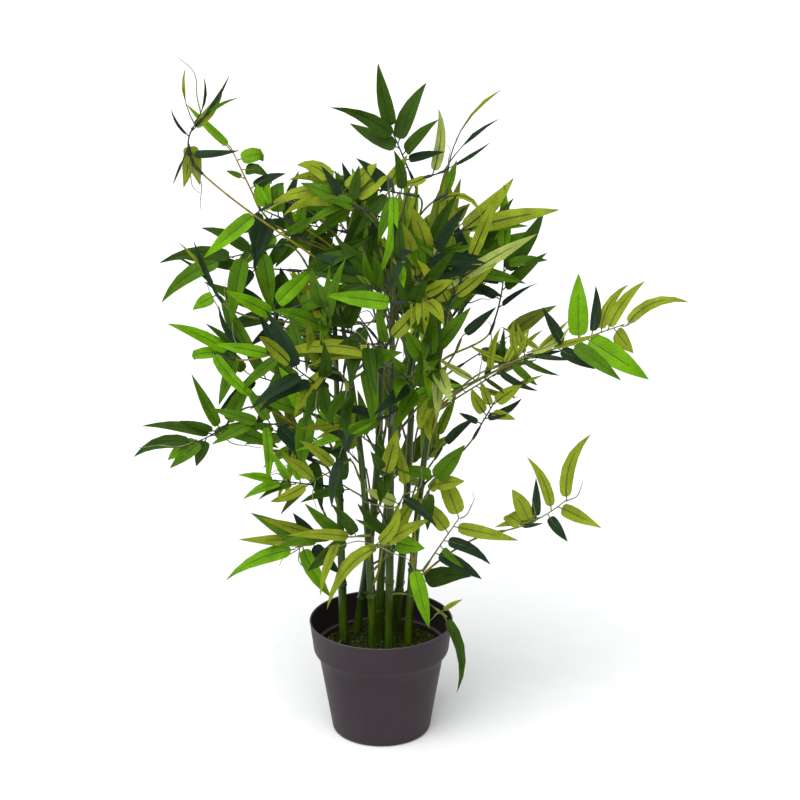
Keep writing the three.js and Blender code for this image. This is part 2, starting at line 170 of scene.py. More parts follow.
# The sprays that make the crown's outline and its front, from the top round to the pot's edge.
OUTLINE: tuple[SprayPlan, ...] = (
    # top
    SprayPlan((33, 0, 594), 180, 67, 54, "middle", 505, (mid(-45, 36, 0.3), deep(166, 38, 0.24),
        dark(131, 52, 0.3), dark(21, 54, 0.28), dark(117, 62, 0.28), dark(26, 68, 0.24),
        dark(77, 66, 0.24, 18))),
    SprayPlan((42, -8, 598), 0, 16, 24, "middle", 512, (olive(190, 28, 0.3, -40),
        pale(84, 64, 0.17, 30), deep(34, 58, 0.1, 24, 0, 0.4), deep(42, 76, 0.09, -34, 0, 0.5),
        olive(58, 100, 0.08, -48, 0, 0.66)), tendrils=(Tendril(0.9, 60, 30, 60),)),
    SprayPlan((58, -16, 580), 0, 30, 8, "middle", 520, (olive(-24, 52, 0.12, -120), mid(70, 30, 0.3))),
    SprayPlan((34, -22, 584), 176, 8, 40, "middle", 510, (dark(80, 40, 0.3), mid(-70, 52, 0.26),
        deep(40, 44, 0.3), dark(-50, 54, 0.26), olive(120, 38, 0.34), mid(-20, 50, 0.28),
        dark(10, 46, 0.28))),
    SprayPlan((16, -12, 556), 172, 14, 60, "middle", 496, (dark(-80, 58, 0.26), mid(96, 44, 0.28),
        dark(-60, 54, 0.26), deep(70, 46, 0.28), mid(-40, 56, 0.24), dark(46, 50, 0.26),
        mid(-4, 54, 0.24))),
    SprayPlan((-30, 6, 540), 176, 10, 50, "back_left", 480, (mid(80, 46, 0.26), dark(-70, 58, 0.26),
        dark(50, 48, 0.28), mid(-50, 56, 0.24), dark(-6, 56, 0.24))),
    SprayPlan((-8, -28, 562), 182, 46, 52, "back_left", 510, (olive(5, 60, 0.22, -50),
        olive(-2, 76, 0.19, -58), olive(150, 42, 0.42, 20), olive(-9, 86, 0.17, -62),
        olive(140, 38, 0.46, 20), olive(6, 50, 0.26, -50), olive(28, 38, 0.42, -70)), stem=Stem.OLIVE,
        tendrils=(Tendril(0.6, 20, 34, -80),)),
    SprayPlan((-14, -34, 572), 176, 24, 30, "back_left", 510, (mid(10, 34, 0.36, -20),
        dark(100, 34, 0.34), mid(-30, 50, 0.24), deep(60, 36, 0.24), mid(22, 34, 0.34))),
    SprayPlan((12, -62, 604), 0, -76, 8, "middle", 505, (bright(-102, 90, 0.13, -46),)),
    SprayPlan((22, -96, 496), 180, -4, 8, "middle", 440, (bright(4, 64, 0.27, -8),)),
    # upper left
    SprayPlan((-174, -34, 611), 180, 95, 58, "middle", 452, (deep(178, 44, 0.24, -30),
        olive(-82, 34, 0.32, 10), deep(-66, 44, 0.08, 30, 0, 0.3), olive(-100, 40, 0.38),
        deep(60, 30, 0.12, 30), deep(128, 64, 0.1, -34, 0, 0.4), olive(126, 48, 0.2, -20),
        olive(80, 56, 0.08, 46, 0, 0.5), deep(104, 44, 0.1, -40, 0, 0.4), mid(150, 40, 0.1, 30)),
        bend=50, wire=Stem.YELLOW, tendrils=(Tendril(0.15, 250, 46, 30), Tendril(0.97, 96, 66, -52),
        Tendril(0.3, 280, 40, -60))),
    SprayPlan((-120, -2, 570), 180, 66, 62, "back_left", 488, (deep(155, 38, 0.28), mid(20, 18, 0.3),
        dark(176, 30, 0.5, 0, 60), bright(168, 34, 0.46, 0, 80), bright(46, 56, 0.16, 34)),
        stem=Stem.YELLOW, wire=Stem.YELLOW, tendrils=(Tendril(0.9, 60, 16, -80),)),
    SprayPlan((-84, -6, 552), 180, 24, 38, "back_left", 474, (deep(106, 47, 0.25),
        mid(86, 42, 0.4, 10, 80), deep(-72, 54, 0.27), bright(84, 46, 0.42, 0, 85), deep(-86, 62, 0.2)),
        wire=Stem.YELLOW),
    SprayPlan((-74, -4, 536), 180, 12, 26, "back_left", 464, (bright(104, 44, 0.26, 30),
        mid(74, 44, 0.24), dark(-60, 50), mid(150, 40), bright(-44, 62, 0.24, -10))),
    # left, high
    SprayPlan((-100, -6, 530), 180, -14, 58, "left", 448, (mid(-97, 56, 0.3), dark(27, 54, 0.25),
        mid(-80, 66, 0.3), dark(-2, 74, 0.2, -26), mid(-36, 76, 0.22, -34)),
        tendrils=(Tendril(0.5, -60, 30, 60),)),
    SprayPlan((-160, -8, 476), 180, 60, 10, "left", 430, (dark(40, 62, 0.08, -30, 0, 0.3),
        bright(-30, 26, 0.5), olive(60, 64, 0.07, -30, 0, 0.4), deep(70, 50, 0.12, 20))),
    SprayPlan((-108, -24, 574), 180, -30, 14, "back_left", 480, (bright(60, 22, 0.3),
        bright(-42, 64, 0.24, -10))),
    SprayPlan((-84, 10, 500), 172, 2, 56, "left", 440, (dark(-80, 58), mid(70, 52), deep(-50, 54),
        dark(10, 58))),
    SprayPlan((-104, -26, 462), 0, 92, 12, "left", 430, (bright(144, 56, 0.26),
        bright(42, 60, 0.28, 20))),
    # left, middle
    SprayPlan((-110, -4, 416), 180, 4, 48, "left", 426, (dark(168, 30, 0.3), mid(57, 66, 0.26),
        deep(62, 56, 0.14, 24), dark(42, 42, 0.2), mid(-70, 56, 0.24), bright(30, 66, 0.23, -8),
        bright(-10, 40, 0.3, 0, 70)), tendrils=(Tendril(0.5, 50, 92, 40), Tendril(0.6, 70, 80, 26))),
    SprayPlan((-150, -16, 416), 180, 20, 20, "left", 420, (bright(-133, 80, 0.16, -40),),
        wire=Stem.YELLOW),
    SprayPlan((-70, 18, 440), 170, 16, 58, "left", 410, (dark(76, 54, 0.3), deep(-40, 50), mid(56, 60),
        dark(-20, 56, 0.28), deep(34, 50), mid(24, 58))),
    SprayPlan((-60, -24, 412), 186, 14, 50, "left", 380, (deep(-150, 50, 0.3), mid(80, 58, 0.26),
        dark(-60, 60, 0.24), deep(60, 50), mid(-44, 56), bright(10, 56))),
    SprayPlan((6, -84, 439), 180, 18, 12, "front", 390, (olive(-9, 80, 0.12, -44),
        olive(0, 100, 0.15, -48)), stem=Stem.OLIVE, tendrils=(Tendril(0.8, 60, 40, -60),)),
    # left arm
    SprayPlan((-146, 0, 352), 180, -34, 56, "left", 300, (mid(118, 62, 0.24, -10),
        mid(-158, 56, 0.3, 10), mid(63, 60, 0.2), dark(22, 36, 0.26), dark(10, 70, 0.17, -22),
        mid(172, 66, 0.23), dark(-72, 36, 0.36), mid(-45, 44, 0.32), bright(-38, 44, 0.36, -20),
        dark(-14, 88, 0.16, -50)), bend=16, wire=Stem.YELLOW, tendrils=(Tendril(0.1, 110, 40, 20),
        Tendril(0.95, -6, 60, 12), Tendril(0.5, -140, 50, -50))),
    SprayPlan((-98, -12, 344), 180, 6, 30, "left", 290, (deep(-132, 56, 0.26, -16), mid(60, 50),
        bright(-90, 76, 0.13, 10), mid(20, 50), mid(-30, 46))),
    SprayPlan((-84, 10, 376), 176, 16, 54, "left", 300, (mid(84, 56, 0.26), dark(-70, 54), mid(62, 56),
        deep(-40, 50), mid(44, 58))),
    SprayPlan((-62, -26, 358), 180, 20, 20, "left", 320, (bright(-150, 46, 0.5, 0, 50),
        mid(-80, 56, 0.34), bright(60, 50, 0.34), mid(20, 48, 0.3))),
    SprayPlan((-60, -6, 300), 180, 30, 40, "left", 250, (dark(-100, 50, 0.3), olive(-60, 56, 0.14, -30),
        deep(170, 44, 0.24), olive(-84, 60, 0.12, -20), deep(-120, 50, 0.22)), stem=Stem.OLIVE,
        tendrils=(Tendril(0.8, -70, 40, 60),)),
    # lower left
    SprayPlan((-42, -6, 222), 180, -18, 50, "left", 212, (olive(27, 80, 0.17, 0), olive(3, 82, 0.19, 6),
        deep(57, 42, 0.32), deep(-123, 50, 0.3, -20), mid(30, 62, 0.27, -16),
        bright(-113, 68, 0.24, -22), bright(-28, 80, 0.22, 0)), tendrils=(Tendril(0.7, -20, 40, -40),
        Tendril(0.9, -80, 30, -70))),
    SprayPlan((4, -44, 226), 180, -8, 10, "front", 176, (olive(149, 56, 0.25, 8),
        olive(-44, 70, 0.17, -50), olive(116, 50, 0.26, -60), olive(-50, 84, 0.14, -60)),
        stem=Stem.OLIVE, tendrils=(Tendril(0.4, 10, 56, -30), Tendril(0.9, 190, 50, 50))),
    SprayPlan((-14, -34, 232), 180, -4, 34, "front", 190, (dark(60, 46, 0.28), olive(14, 66, 0.2),
        dark(-46, 54, 0.27), mid(40, 50, 0.26), olive(-70, 58, 0.18, -30), mid(-12, 58, 0.24)),
        stem=Stem.OLIVE, wire=Stem.YELLOW),
    SprayPlan((14, -20, 214), 180, 60, 20, "front", 186, (bright(190, 32, 0.6),
        olive(126, 56, 0.26, -20), dark(50, 44, 0.24), mid(20, 30))),
    # lower right
    SprayPlan((46, -14, 188), 0, 58, 66, "right", 175, (deep(-32, 58, 0.27), mid(-36, 30, 0.3),
        deep(-30, 56, 0.22, -14), olive(128, 46, 0.36, 8), olive(-8, 62, 0.24, 6),
        olive(116, 54, 0.38, 0)), stem=Stem.OLIVE, tendrils=(Tendril(0.98, 30, 36, 90),)),
    SprayPlan((44, -30, 268), 0, 66, 30, "right", 165, (olive(60, 30, 0.4, 40), dark(-90, 40, 0.3),
        olive(10, 30, 0.5), mid(48, 44, 0.42, 10), mid(166, 42, 0.34)), stem=Stem.OLIVE,
        wire=Stem.YELLOW),
    SprayPlan((16, -40, 262), 0, 66, 26, "front", 160, (pale(150, 40, 0.3), deep(-40, 44, 0.24),
        olive(100, 40, 0.3)), stem=Stem.OLIVE, wire=Stem.YELLOW, tendrils=(Tendril(0.2, 190, 46, -70),
        Tendril(0.7, 20, 40, 100))),
    SprayPlan((-44, -30, 97), 0, 4, 2, "left", 95, (pale(8, 20, 0.42), pale(172, 14, 0.5)),
        stem=Stem.OLIVE),
    SprayPlan((120, 0, 222), 0, 26, 80, "right", 160, (deep(14, 22, 0.2), olive(150, 28, 0.6, 0, 50),
        olive(118, 42, 0.42), deep(92, 42, 0.22), olive(195, 48, 0.22), deep(-53, 34, 0.34),
        olive(113, 60, 0.2, 12), olive(-30, 50, 0.3), olive(76, 78, 0.18, -34)), bend=16,
        stem=Stem.OLIVE, wire=Stem.YELLOW, tendrils=(Tendril(0.4, 50, 34, 80),
        Tendril(0.98, 20, 34, 80))),
    # right arm
    SprayPlan((150, 0, 412), 0, 20, 102, "right", 350, (deep(-29, 44, 0.28), deep(120, 52, 0.26),
        mid(-35, 58, 0.26), bright(89, 66, 0.31), bright(-32, 76, 0.29), deep(91, 48, 0.24),
        olive(60, 56, 0.18, -30), olive(55, 60, 0.2, -40), olive(-50, 30, 0.6),
        olive(26, 68, 0.18, -66)), stem=Stem.OLIVE, wire=Stem.YELLOW,
        tendrils=(Tendril(0.95, 10, 30, 70), Tendril(0.5, 40, 26, 60))),
    SprayPlan((74, -6, 378), 0, 28, 84, "right", 320, (pale(150, 44, 0.2), dark(-40, 40, 0.16, 30),
        olive(80, 44, 0.2, -40), deep(-30, 44, 0.16, 30), olive(60, 46, 0.16, -30), mid(-44, 38, 0.24),
        olive(100, 40, 0.18, -40), pale(30, 50, 0.16, 30)), wire=Stem.YELLOW, stem=Stem.OLIVE,
        tendrils=(Tendril(0.6, 40, 40, -50), Tendril(0.3, 60, 30, 60))),
    SprayPlan((112, -4, 402), 0, 20, 62, "right", 345, (olive(160, 40, 0.15), olive(66, 38, 0.14, 30),
        dark(-20, 42, 0.15, 30), olive(104, 36, 0.2), deep(-8, 40, 0.16), olive(44, 44, 0.15),
        olive(150, 44, 0.14, 20), olive(16, 50, 0.14, 30)), stem=Stem.OLIVE, wire=Stem.YELLOW),
    SprayPlan((64, 10, 356), 0, 34, 96, "right", 310, (dark(150, 44, 0.2), olive(-10, 40, 0.16, 30),
        dark(64, 46, 0.14, -30), olive(20, 44, 0.14, -30), dark(86, 44, 0.18, -40),
        olive(50, 46, 0.13, -30), deep(10, 40, 0.16)), wire=Stem.YELLOW, stem=Stem.OLIVE,
        tendrils=(Tendril(0.7, 10, 50, 30),)),
    SprayPlan((97, -2, 330), 0, 62, 44, "right", 270, (deep(150, 24, 0.3), deep(22, 44, 0.2, 40),
        olive(120, 30, 0.4), olive(-20, 26, 0.5), olive(108, 32, 0.36), olive(40, 34, 0.4),
        olive(30, 48, 0.14, -20)), wire=Stem.OLIVE),
    SprayPlan((58, -8, 310), 0, 60, 12, "right", 280, (deep(44, 42, 0.23, 10),)),
    # right, high
    SprayPlan((112, 4, 440), 0, 82, 82, "right", 405, (deep(32, 46, 0.2, 16), deep(158, 28, 0.42),
        dark(42, 58, 0.24, 10), deep(170, 30, 0.4), dark(53, 74, 0.24, 6), mid(8, 40, 0.3),
        bright(93, 66, 0.22, 10)), bend=12, wire=Stem.YELLOW),
    SprayPlan((78, -4, 424), 0, 70, 12, "right", 390, (deep(39, 42, 0.24, 10),), stem=Stem.OLIVE),
    SprayPlan((56, -26, 446), 0, 66, 80, "back_right", 430, (mid(46, 56, 0.24), olive(126, 52, 0.34),
        olive(40, 54, 0.26, 10), pale(118, 48, 0.4), pale(37, 58, 0.26), pale(37, 84, 0.17, 8),
        mid(150, 50, 0.3), olive(73, 78, 0.17, 12))),
    SprayPlan((54, -10, 534), 0, 22, 44, "back_right", 460, (olive(88, 60, 0.3), mid(190, 44, 0.3),
        olive(45, 70, 0.26, 8), bright(4, 56, 0.18), olive(12, 78, 0.21, -14)),
        tendrils=(Tendril(0.3, 60, 60, -110),)),
    SprayPlan((34, -18, 478), 0, 74, 60, "back_right", 430, (olive(128, 58, 0.3), mid(40, 50, 0.26),
        dark(150, 52, 0.28), mid(20, 48), olive(110, 50, 0.34), dark(66, 54))),
    SprayPlan((70, 6, 470), 0, 60, 60, "back_right", 440, (dark(-20, 48, 0.26), dark(130, 50),
        mid(-6, 56), deep(110, 50), mid(26, 56, 0.3), dark(60, 60))),
    # the front of the crown
    SprayPlan((-76, -30, 506), 0, 34, 10, "left", 440, (dark(20, 62, 0.28), dark(31, 66, 0.27),
        mid(-10, 50, 0.3))),
    SprayPlan((-84, -34, 474), 0, 20, 10, "left", 430, (mid(30, 60, 0.3), dark(4, 58, 0.3),
        dark(-28, 46, 0.4))),
    SprayPlan((6, -36, 500), 180, 24, 24, "middle", 450, (dark(-14, 54, 0.28), dark(48, 50, 0.26),
        dark(6, 62, 0.26), deep(20, 50, 0.24))),
    SprayPlan((6, -84, 448), 0, 60, 8, "middle", 400, (mid(100, 46, 0.24), olive(52, 62, 0.23, 10))),
    SprayPlan((14, -34, 366), 0, 30, 8, "middle", 350, (bright(22, 72, 0.21, -30), mid(64, 44, 0.3))),
    SprayPlan((6, -40, 362), 180, -10, 10, "middle", 340, (mid(-30, 60, 0.2, -10),
        deep(8, 50, 0.2, -40), bright(-24, 86, 0.13, 16)), tendrils=(Tendril(0.5, 100, 50, 90),
        Tendril(0.2, -60, 34, -60))),
    SprayPlan((44, -40, 412), 0, 70, 24, "middle", 390, (bright(120, 50, 0.36), bright(-80, 60, 0.3),
        mid(50, 56, 0.3), bright(94, 44, 0.34))),
    SprayPlan((-30, -38, 450), 180, 10, 24, "front", 420, (dark(120, 44, 0.4), dark(-30, 44, 0.4),
        olive(60, 44, 0.34), mid(20, 54, 0.32))),
    # pot's edge
    SprayPlan((61, -38, 149), 0, -40, 8, "middle", 152, (olive(34, 24, 0.22, 16),
        dark(-81, 86, 0.14, -36)), stem=Stem.OLIVE, tendrils=(Tendril(0.1, 220, 16, 20),)),
    SprayPlan((33, -40, 206), 0, -80, 6, "right", 190, (bright(-78, 70, 0.23, -6),), stem=Stem.OLIVE),
    SprayPlan((34, 26, 150), 0, 30, 10, "back_right", 130, (dark(10, 50, 0.4, -30),), stem=Stem.OLIVE),
)


@dataclass(frozen=True)
class FillPlan:
    """A rule that grows sprays round one cane, between two heights, each turned on from the last.

    out is how far a spray's foot stands off the cane and reach its leaves' length, in millimetres like the
    heights. turn_span is the arc, in degrees, that the sprays are spread over, and rise is their climb.
    """

    cane: str
    low: float
    high: float
    count: int
    turn_from: float
    turn_span: float
    out: float
    reach: float
    rise: float = 22.0


FILLS: tuple[FillPlan, ...] = (
    FillPlan("left", 350, 425, 2, 80, 60, 40, 68),
    FillPlan("left", 370, 430, 2, 250, 40, 44, 58),
    FillPlan("front", 355, 425, 4, 225, 80, 48, 60, 4),
    FillPlan("middle", 390, 480, 4, 190, 160, 28, 62),
    FillPlan("middle", 400, 490, 4, 245, 60, 44, 60, 2),
    FillPlan("back_left", 385, 495, 4, 60, 120, 36, 64),
    FillPlan("back_left", 430, 490, 4, 60, 60, 66, 62, 6),
    FillPlan("back", 350, 430, 7, 30, 120, 62, 68),
    FillPlan("back_right", 375, 455, 5, 50, 90, 52, 60),
    FillPlan("back_right", 430, 480, 3, 50, 60, 60, 62),
    FillPlan("right", 350, 390, 2, -120, 60, 22, 50),
    FillPlan("right", 360, 400, 2, 260, 20, 40, 52),
    FillPlan("left", 215, 310, 3, 150, 80, 22, 42, 40),
    FillPlan("back_left", 215, 340, 4, 60, 90, 44, 54, 30),
    FillPlan("back_right", 225, 330, 4, 70, 60, 48, 58),
    FillPlan("front", 290, 340, 2, 225, 60, 34, 50, 4),
    FillPlan("middle", 230, 330, 3, 190, 130, 22, 50, 14),
    FillPlan("middle", 465, 515, 3, 90, 100, 50, 50),
    FillPlan("middle", 455, 505, 3, 268, 50, 50, 46, 4),
    FillPlan("back", 400, 450, 3, 60, 140, 74, 56),
)
# How often the fill leaves are of each tint.
FILL_TINTS: dict[Tint, float] = {
    Tint.BRIGHT: 0.13, Tint.MID: 0.32, Tint.DARK: 0.27, Tint.DEEP: 0.1, Tint.OLIVE: 0.14, Tint.PALE: 0.04,
}
# Gaps that the fill leaves keep clear of, seen from EYE: x and z in the pot's middle plane, and radius.
GAPS: tuple[Triple, ...] = (
    (112, 455, 22), (124, 494, 18), (65, 430, 10), (-2, 442, 14), (44, 574, 9), (-28, 442, 12),
    (-58, 545, 11), (-38, 538, 8), (-62, 292, 13), (-30, 300, 9), (-38, 470, 9), (-20, 470, 11),
    (-2, 470, 9), (22, 438, 13), (-70, 405, 10), (-40, 409, 12), (-2, 392, 12), (-26, 628, 16),
)
# The eye in front of the plant: its x, how far it stands in front of the pot's axis, and its height.
EYE: Triple = (20.0, 1936.0, 1000.0)


# ---------------------------------------------------------------- surfaces


@dataclass
class Shell:
    """A mesh in the making: vertices with a UV each, and quads or triangles with a material slot each."""

    points: list[Array] = field(default_factory=list)
    faces: list[Indices] = field(default_factory=list)
    slots: list[Indices] = field(default_factory=list)
    uvs: list[Array] = field(default_factory=list)
    size: int = 0

    def add(
        self, points: Array, faces: Indices, uvs: Array | None = None, slot: int | Indices = 0
    ) -> None:
        """Adds one surface.

        Args:
            points: Its vertices, in metres.
            faces: Its quads, as indices into points. A triangle repeats its last index.
            uvs: A UV for each vertex, or None for zeros.
            slot: The material slot of all its faces, or one for each.
        """
        flat = points.reshape(-1, 3)
        self.points.append(flat)
        self.faces.append(faces + self.size)
        self.slots.append(np.broadcast_to(np.asarray(slot, dtype=np.int64), (len(faces),)))
        self.uvs.append(np.zeros((len(flat), 2)) if uvs is None else uvs.reshape(-1, 2))
        self.size += len(flat)

    def build(self, name: str, materials: list[bpy.types.Material]) -> bpy.types.Object:
        """Makes the Blender object, smooth shaded, at the origin.

        Args:
            name: The object's name.
            materials: Its materials, in slot order.

        Returns:
            The new object, linked to the scene.
        """
        points, faces = np.concatenate(self.points), np.concatenate(self.faces)
        slots, uvs = np.concatenate(self.slots), np.concatenate(self.uvs)
        keep = np.ones(faces.shape, bool)
        keep[:, 3] = faces[:, 2] != faces[:, 3]
        loops = faces[keep]
        starts = np.concatenate([[0], np.cumsum(keep.sum(1))[:-1]])
        mesh = bpy.data.meshes.new(name)
        mesh.vertices.add(len(points))
        mesh.vertices.foreach_set("co", points.astype(np.float32).ravel())
        mesh.loops.add(len(loops))
        mesh.loops.foreach_set("vertex_index", loops.astype(np.int32))
        mesh.polygons.add(len(faces))
        mesh.polygons.foreach_set("loop_start", starts.astype(np.int32))
        mesh.polygons.foreach_set("material_index", slots.astype(np.int32))
        mesh.polygons.foreach_set("use_smooth", np.ones(len(faces), bool))
        layer = mesh.uv_layers.new(name="surface")
        layer.data.foreach_set("uv", uvs[loops].astype(np.float32).ravel())
        mesh.update(calc_edges=True)
        mesh.validate()
        for material in materials:
            mesh.materials.append(material)
        piece = bpy.data.objects.new(name, mesh)
        bpy.context.scene.collection.objects.link(piece)
        return piece


# The UVs of the points that close a surface's foot and head.
POLE_UVS = np.array([[0.5, 0.0], [0.5, 1.0]])


def unit(vectors: Array) -> Array:
    """Each vector over its own length."""
    return vectors / np.maximum(np.linalg.norm(vectors, axis=-1, keepdims=True), 1e-12)


def grid_faces(rows: int, columns: int, closed: bool = False) -> Indices:
    """Quads of a grid of vertices.

    Args:
        rows: Vertices the long way.
        columns: Vertices across.
        closed: True joins the last column to the first.

    Returns:
        The quads, wound row, next column, next row.
    """
    across = columns if closed else columns - 1
    i, k = np.meshgrid(np.arange(rows - 1), np.arange(across), indexing="ij")
    a, b = i * columns + k, i * columns + (k + 1) % columns
    return np.stack([a, b, b + columns, a + columns], -1).reshape(-1, 4)


def fan(start: int, sides: int, hub: int, forward: bool) -> Indices:
    """Triangles between a ring of vertices and a hub, as quads that repeat their last index.

    Args:
        start: The ring's first vertex.
        sides: Vertices in the ring.
        hub: The hub vertex.
        forward: True winds them the way the ring runs.

    Returns:
        The triangles.
    """
    here, after = start + np.arange(sides), start + (np.arange(sides) + 1) % sides
    first, second = (here, after) if forward else (after, here)
    middle = np.full(sides, hub)
    return np.stack([first, second, middle, middle], -1)


def closed_faces(rows: int, sides: int, reverse: bool = False) -> Indices:
    """Quads between rings, then a fan that closes each end. The two hubs follow the rings' vertices.

    Args:
        rows: Rings.
        sides: Vertices in a ring.
        reverse: True winds every face the other way.

    Returns:
        The faces.
    """
    walls = grid_faces(rows, sides, closed=True)
    size = rows * sides
    return np.concatenate([
        walls[:, ::-1] if reverse else walls,
        fan(0, sides, size, reverse),
        fan(size - sides, sides, size + 1, not reverse),
    ])


def tube(path: Array, radii: Array, sides: int, ref: Array) -> tuple[Array, Indices, Array]:
    """A closed tube: each ring is centre + radius * (cos a * side + sin a * up), side = tangent x ref.

    Args:
        path: The centre line's points.
        radii: The radius at each point.
        sides: Vertices in a ring.
        ref: A direction that the tangent never runs along.

    Returns:
        Vertices, quads and UVs. A centre point closes each end.
    """
    tangent = unit(np.gradient(path, axis=0))
    side = unit(np.cross(tangent, ref))
    up = np.cross(side, tangent)
    angle = np.arange(sides) * (TURN / sides)
    ring = np.cos(angle)[None, :, None] * side[:, None] + np.sin(angle)[None, :, None] * up[:, None]
    points = (path[:, None] + radii[:, None, None] * ring).reshape(-1, 3)
    run = np.linspace(0, 1, len(path))
    uvs = np.stack(np.broadcast_arrays(angle[None] / TURN, run[:, None]), -1).reshape(-1, 2)
    return (
        np.concatenate([points, path[:1], path[-1:]]),
        closed_faces(len(path), sides),
        np.concatenate([uvs, POLE_UVS]),
    )


def bell(away: Array) -> Array:
    """A bell of height one: e to the minus away squared."""
    return np.exp(-(away**2))


def bezier(a: Array, b: Array, c: Array, d: Array, steps: int) -> Array:
    """Points of the cubic with ends a and d and handles b and c, at equal steps of its parameter."""
    t = np.linspace(0, 1, steps)[:, None]
    return (1 - t) ** 3 * a + 3 * t * (1 - t) ** 2 * b + 3 * t**2 * (1 - t) * c + t**3 * d


def settle(piece: bpy.types.Object, nodes: list[str]) -> bpy.types.Object:
    """Makes a piece ride on the plant and hides the design solids that it stands for.

    Args:
        piece: The piece.
        nodes: The design solids that it replaces.

    Returns:
        The same piece.
    """
    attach(piece, "root")
    if nodes:
        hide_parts(*nodes)
    return piece


def heading_vector(turn: float, heading: float, tilt: float = 0.0) -> Array:
    """A direction given by three angles in degrees.

    Args:
        turn: The turn of its upright plane about the vertical.
        heading: Its climb from level in that plane.
        tilt: How far it leans out of the plane.

    Returns:
        The unit vector.
    """
    turn, heading, tilt = np.radians([turn, heading, tilt])
    out, side = math.cos(heading) * math.cos(tilt), math.sin(tilt)
    return np.array([
        out * math.cos(turn) - side * math.sin(turn),
        out * math.sin(turn) + side * math.cos(turn),
        math.sin(heading) * math.cos(tilt),
    ])


# ---------------------------------------------------------------- finishes


class Nodes:
    """Shorthand for building a material's node tree."""

    # Where a Mix node keeps its colour inputs and its colour result.
    MIX_INPUTS = (0, 6, 7)
    MIX_RESULT = 2

    def __init__(self, name: str) -> None:
        """Starts a material with a Principled shader.

        Args:
            name: The material's name.
        """
        self.material = bpy.data.materials.new(name)
        self.material.use_nodes = True
        self.tree = self.material.node_tree
        self.shader = self.tree.nodes["Principled BSDF"]

    def node(self, kind: str, **sockets: object) -> bpy.types.Node:
        """Adds a node and sets its inputs.

        Args:
            kind: The node's type name.
            **sockets: Input values by name, with _ for a space. A socket given is linked.

        Returns:
            The new node.
        """
        made = self.tree.nodes.new(kind)
        for key, value in sockets.items():
            self.set(made, key.replace("_", " "), value)
        return made

    def set(self, target: bpy.types.Node, socket: str | int, value: object) -> None:
        """Sets or links one input.

        Args:
            target: The node.
            socket: The input's name or number.
            value: A number, a colour or a vector, or a socket to link.
        """
        if isinstance(value, bpy.types.NodeSocket):
            self.tree.links.new(value, target.inputs[socket])
        else:
            target.inputs[socket].default_value = value

    def noise(self, scale: float, detail: float = 3.0, stretch: Triple = (1, 1, 1)) -> Socket:
        """A noise on Object coordinates.

        Args:
            scale: Waves to a metre, roughly.
            detail: How many finer layers it has.
            stretch: A factor on the scale along each axis.

        Returns:
            The noise's value, from 0 to 1.
        """
        place = self.node("ShaderNodeTexCoord").outputs["Object"]
        mapped = self.node("ShaderNodeMapping", Vector=place, Scale=stretch).outputs[0]
        return self.node("ShaderNodeTexNoise", Vector=mapped, Scale=scale, Detail=detail).outputs["Fac"]

    def ramp(self, fac: Socket, stops: list[tuple[float, Colour]]) -> Socket:
        """Colours along a ramp.

        Args:
            fac: The place on the ramp, from 0 to 1.
            stops: Each stop's place and colour.

        Returns:
            The colour.
        """
        made = self.node("ShaderNodeValToRGB", Fac=fac)
        elements = made.color_ramp.elements
        while len(elements) < len(stops):
            elements.new(0.5)
        for element, (position, colour) in zip(elements, stops):
            element.position = position
            element.color = (*colour, 1.0)
        return made.outputs["Color"]

    def math(self, operation: str, *values: Socket | float) -> Socket:
        """A sum.

        Args:
            operation: Its name.
            *values: Its inputs, which are sockets or numbers.

        Returns:
            The result.
        """
        made = self.node("ShaderNodeMath")
        made.operation = operation
        for i, value in enumerate(values):
            self.set(made, i, value)
        return made.outputs[0]

    def mix(self, blend: str, factor: Socket | float, first: Socket, second: Socket | tuple) -> Socket:
        """Two colours blended.

        Args:
            blend: The blend's name.
            factor: How much of the blend shows, from 0 to 1.
            first: The colour below.
            second: The colour above.

        Returns:
            The blended colour.
        """
        made = self.node("ShaderNodeMix")
        made.data_type, made.blend_type = "RGBA", blend
        for socket, value in zip(self.MIX_INPUTS, (factor, first, second)):
            self.set(made, socket, value)
        return made.outputs[self.MIX_RESULT]

    def uneven(self, low: float, high: float, scale: float, detail: float) -> Socket:
        """A value that wanders between low and high with a noise."""
        wander = self.noise(scale, detail)
        return self.node("ShaderNodeMapRange", Value=wander, To_Min=low, To_Max=high).outputs["Result"]

    def dress(
        self, colour: Socket, normal: Socket | None, roughness: Socket | float, specular: float
    ) -> bpy.types.Material:
        """Sets the shader's inputs.

        Args:
            colour: The base colour.
            normal: The bumps, or None for none.
            roughness: A number, or a socket that varies it.
            specular: The specular level.

        Returns:
            The finished material.
        """
        self.set(self.shader, "Base Color", colour)
        if normal is not None:
            self.set(self.shader, "Normal", normal)
        self.set(self.shader, "Roughness", roughness)
        self.shader.inputs["Specular IOR Level"].default_value = specular
        return self.material

    def bump(
        self, height: Socket, distance: float, strength: float, normal: Socket | None = None
    ) -> Socket:
        """Bumps.

        Args:
            height: The pattern that raises them.
            distance: Their height in metres.
            strength: How much of them shows, from 0 to 1.
            normal: Coarser bumps under them, or None for none.

        Returns:
            The bumped normal.
        """
        made = self.node("ShaderNodeBump", Height=height, Distance=distance, Strength=strength)
        if normal is not None:
            self.set(made, "Normal", normal)
        return made.outputs["Normal"]


def shade(colour: Colour, factor: float) -> Colour:
    """The colour made lighter or darker by a factor."""
    return tuple(min(1.0, c * factor) for c in colour)


def grey(value: float) -> Colour:
    """An even grey."""
    return value, value, value


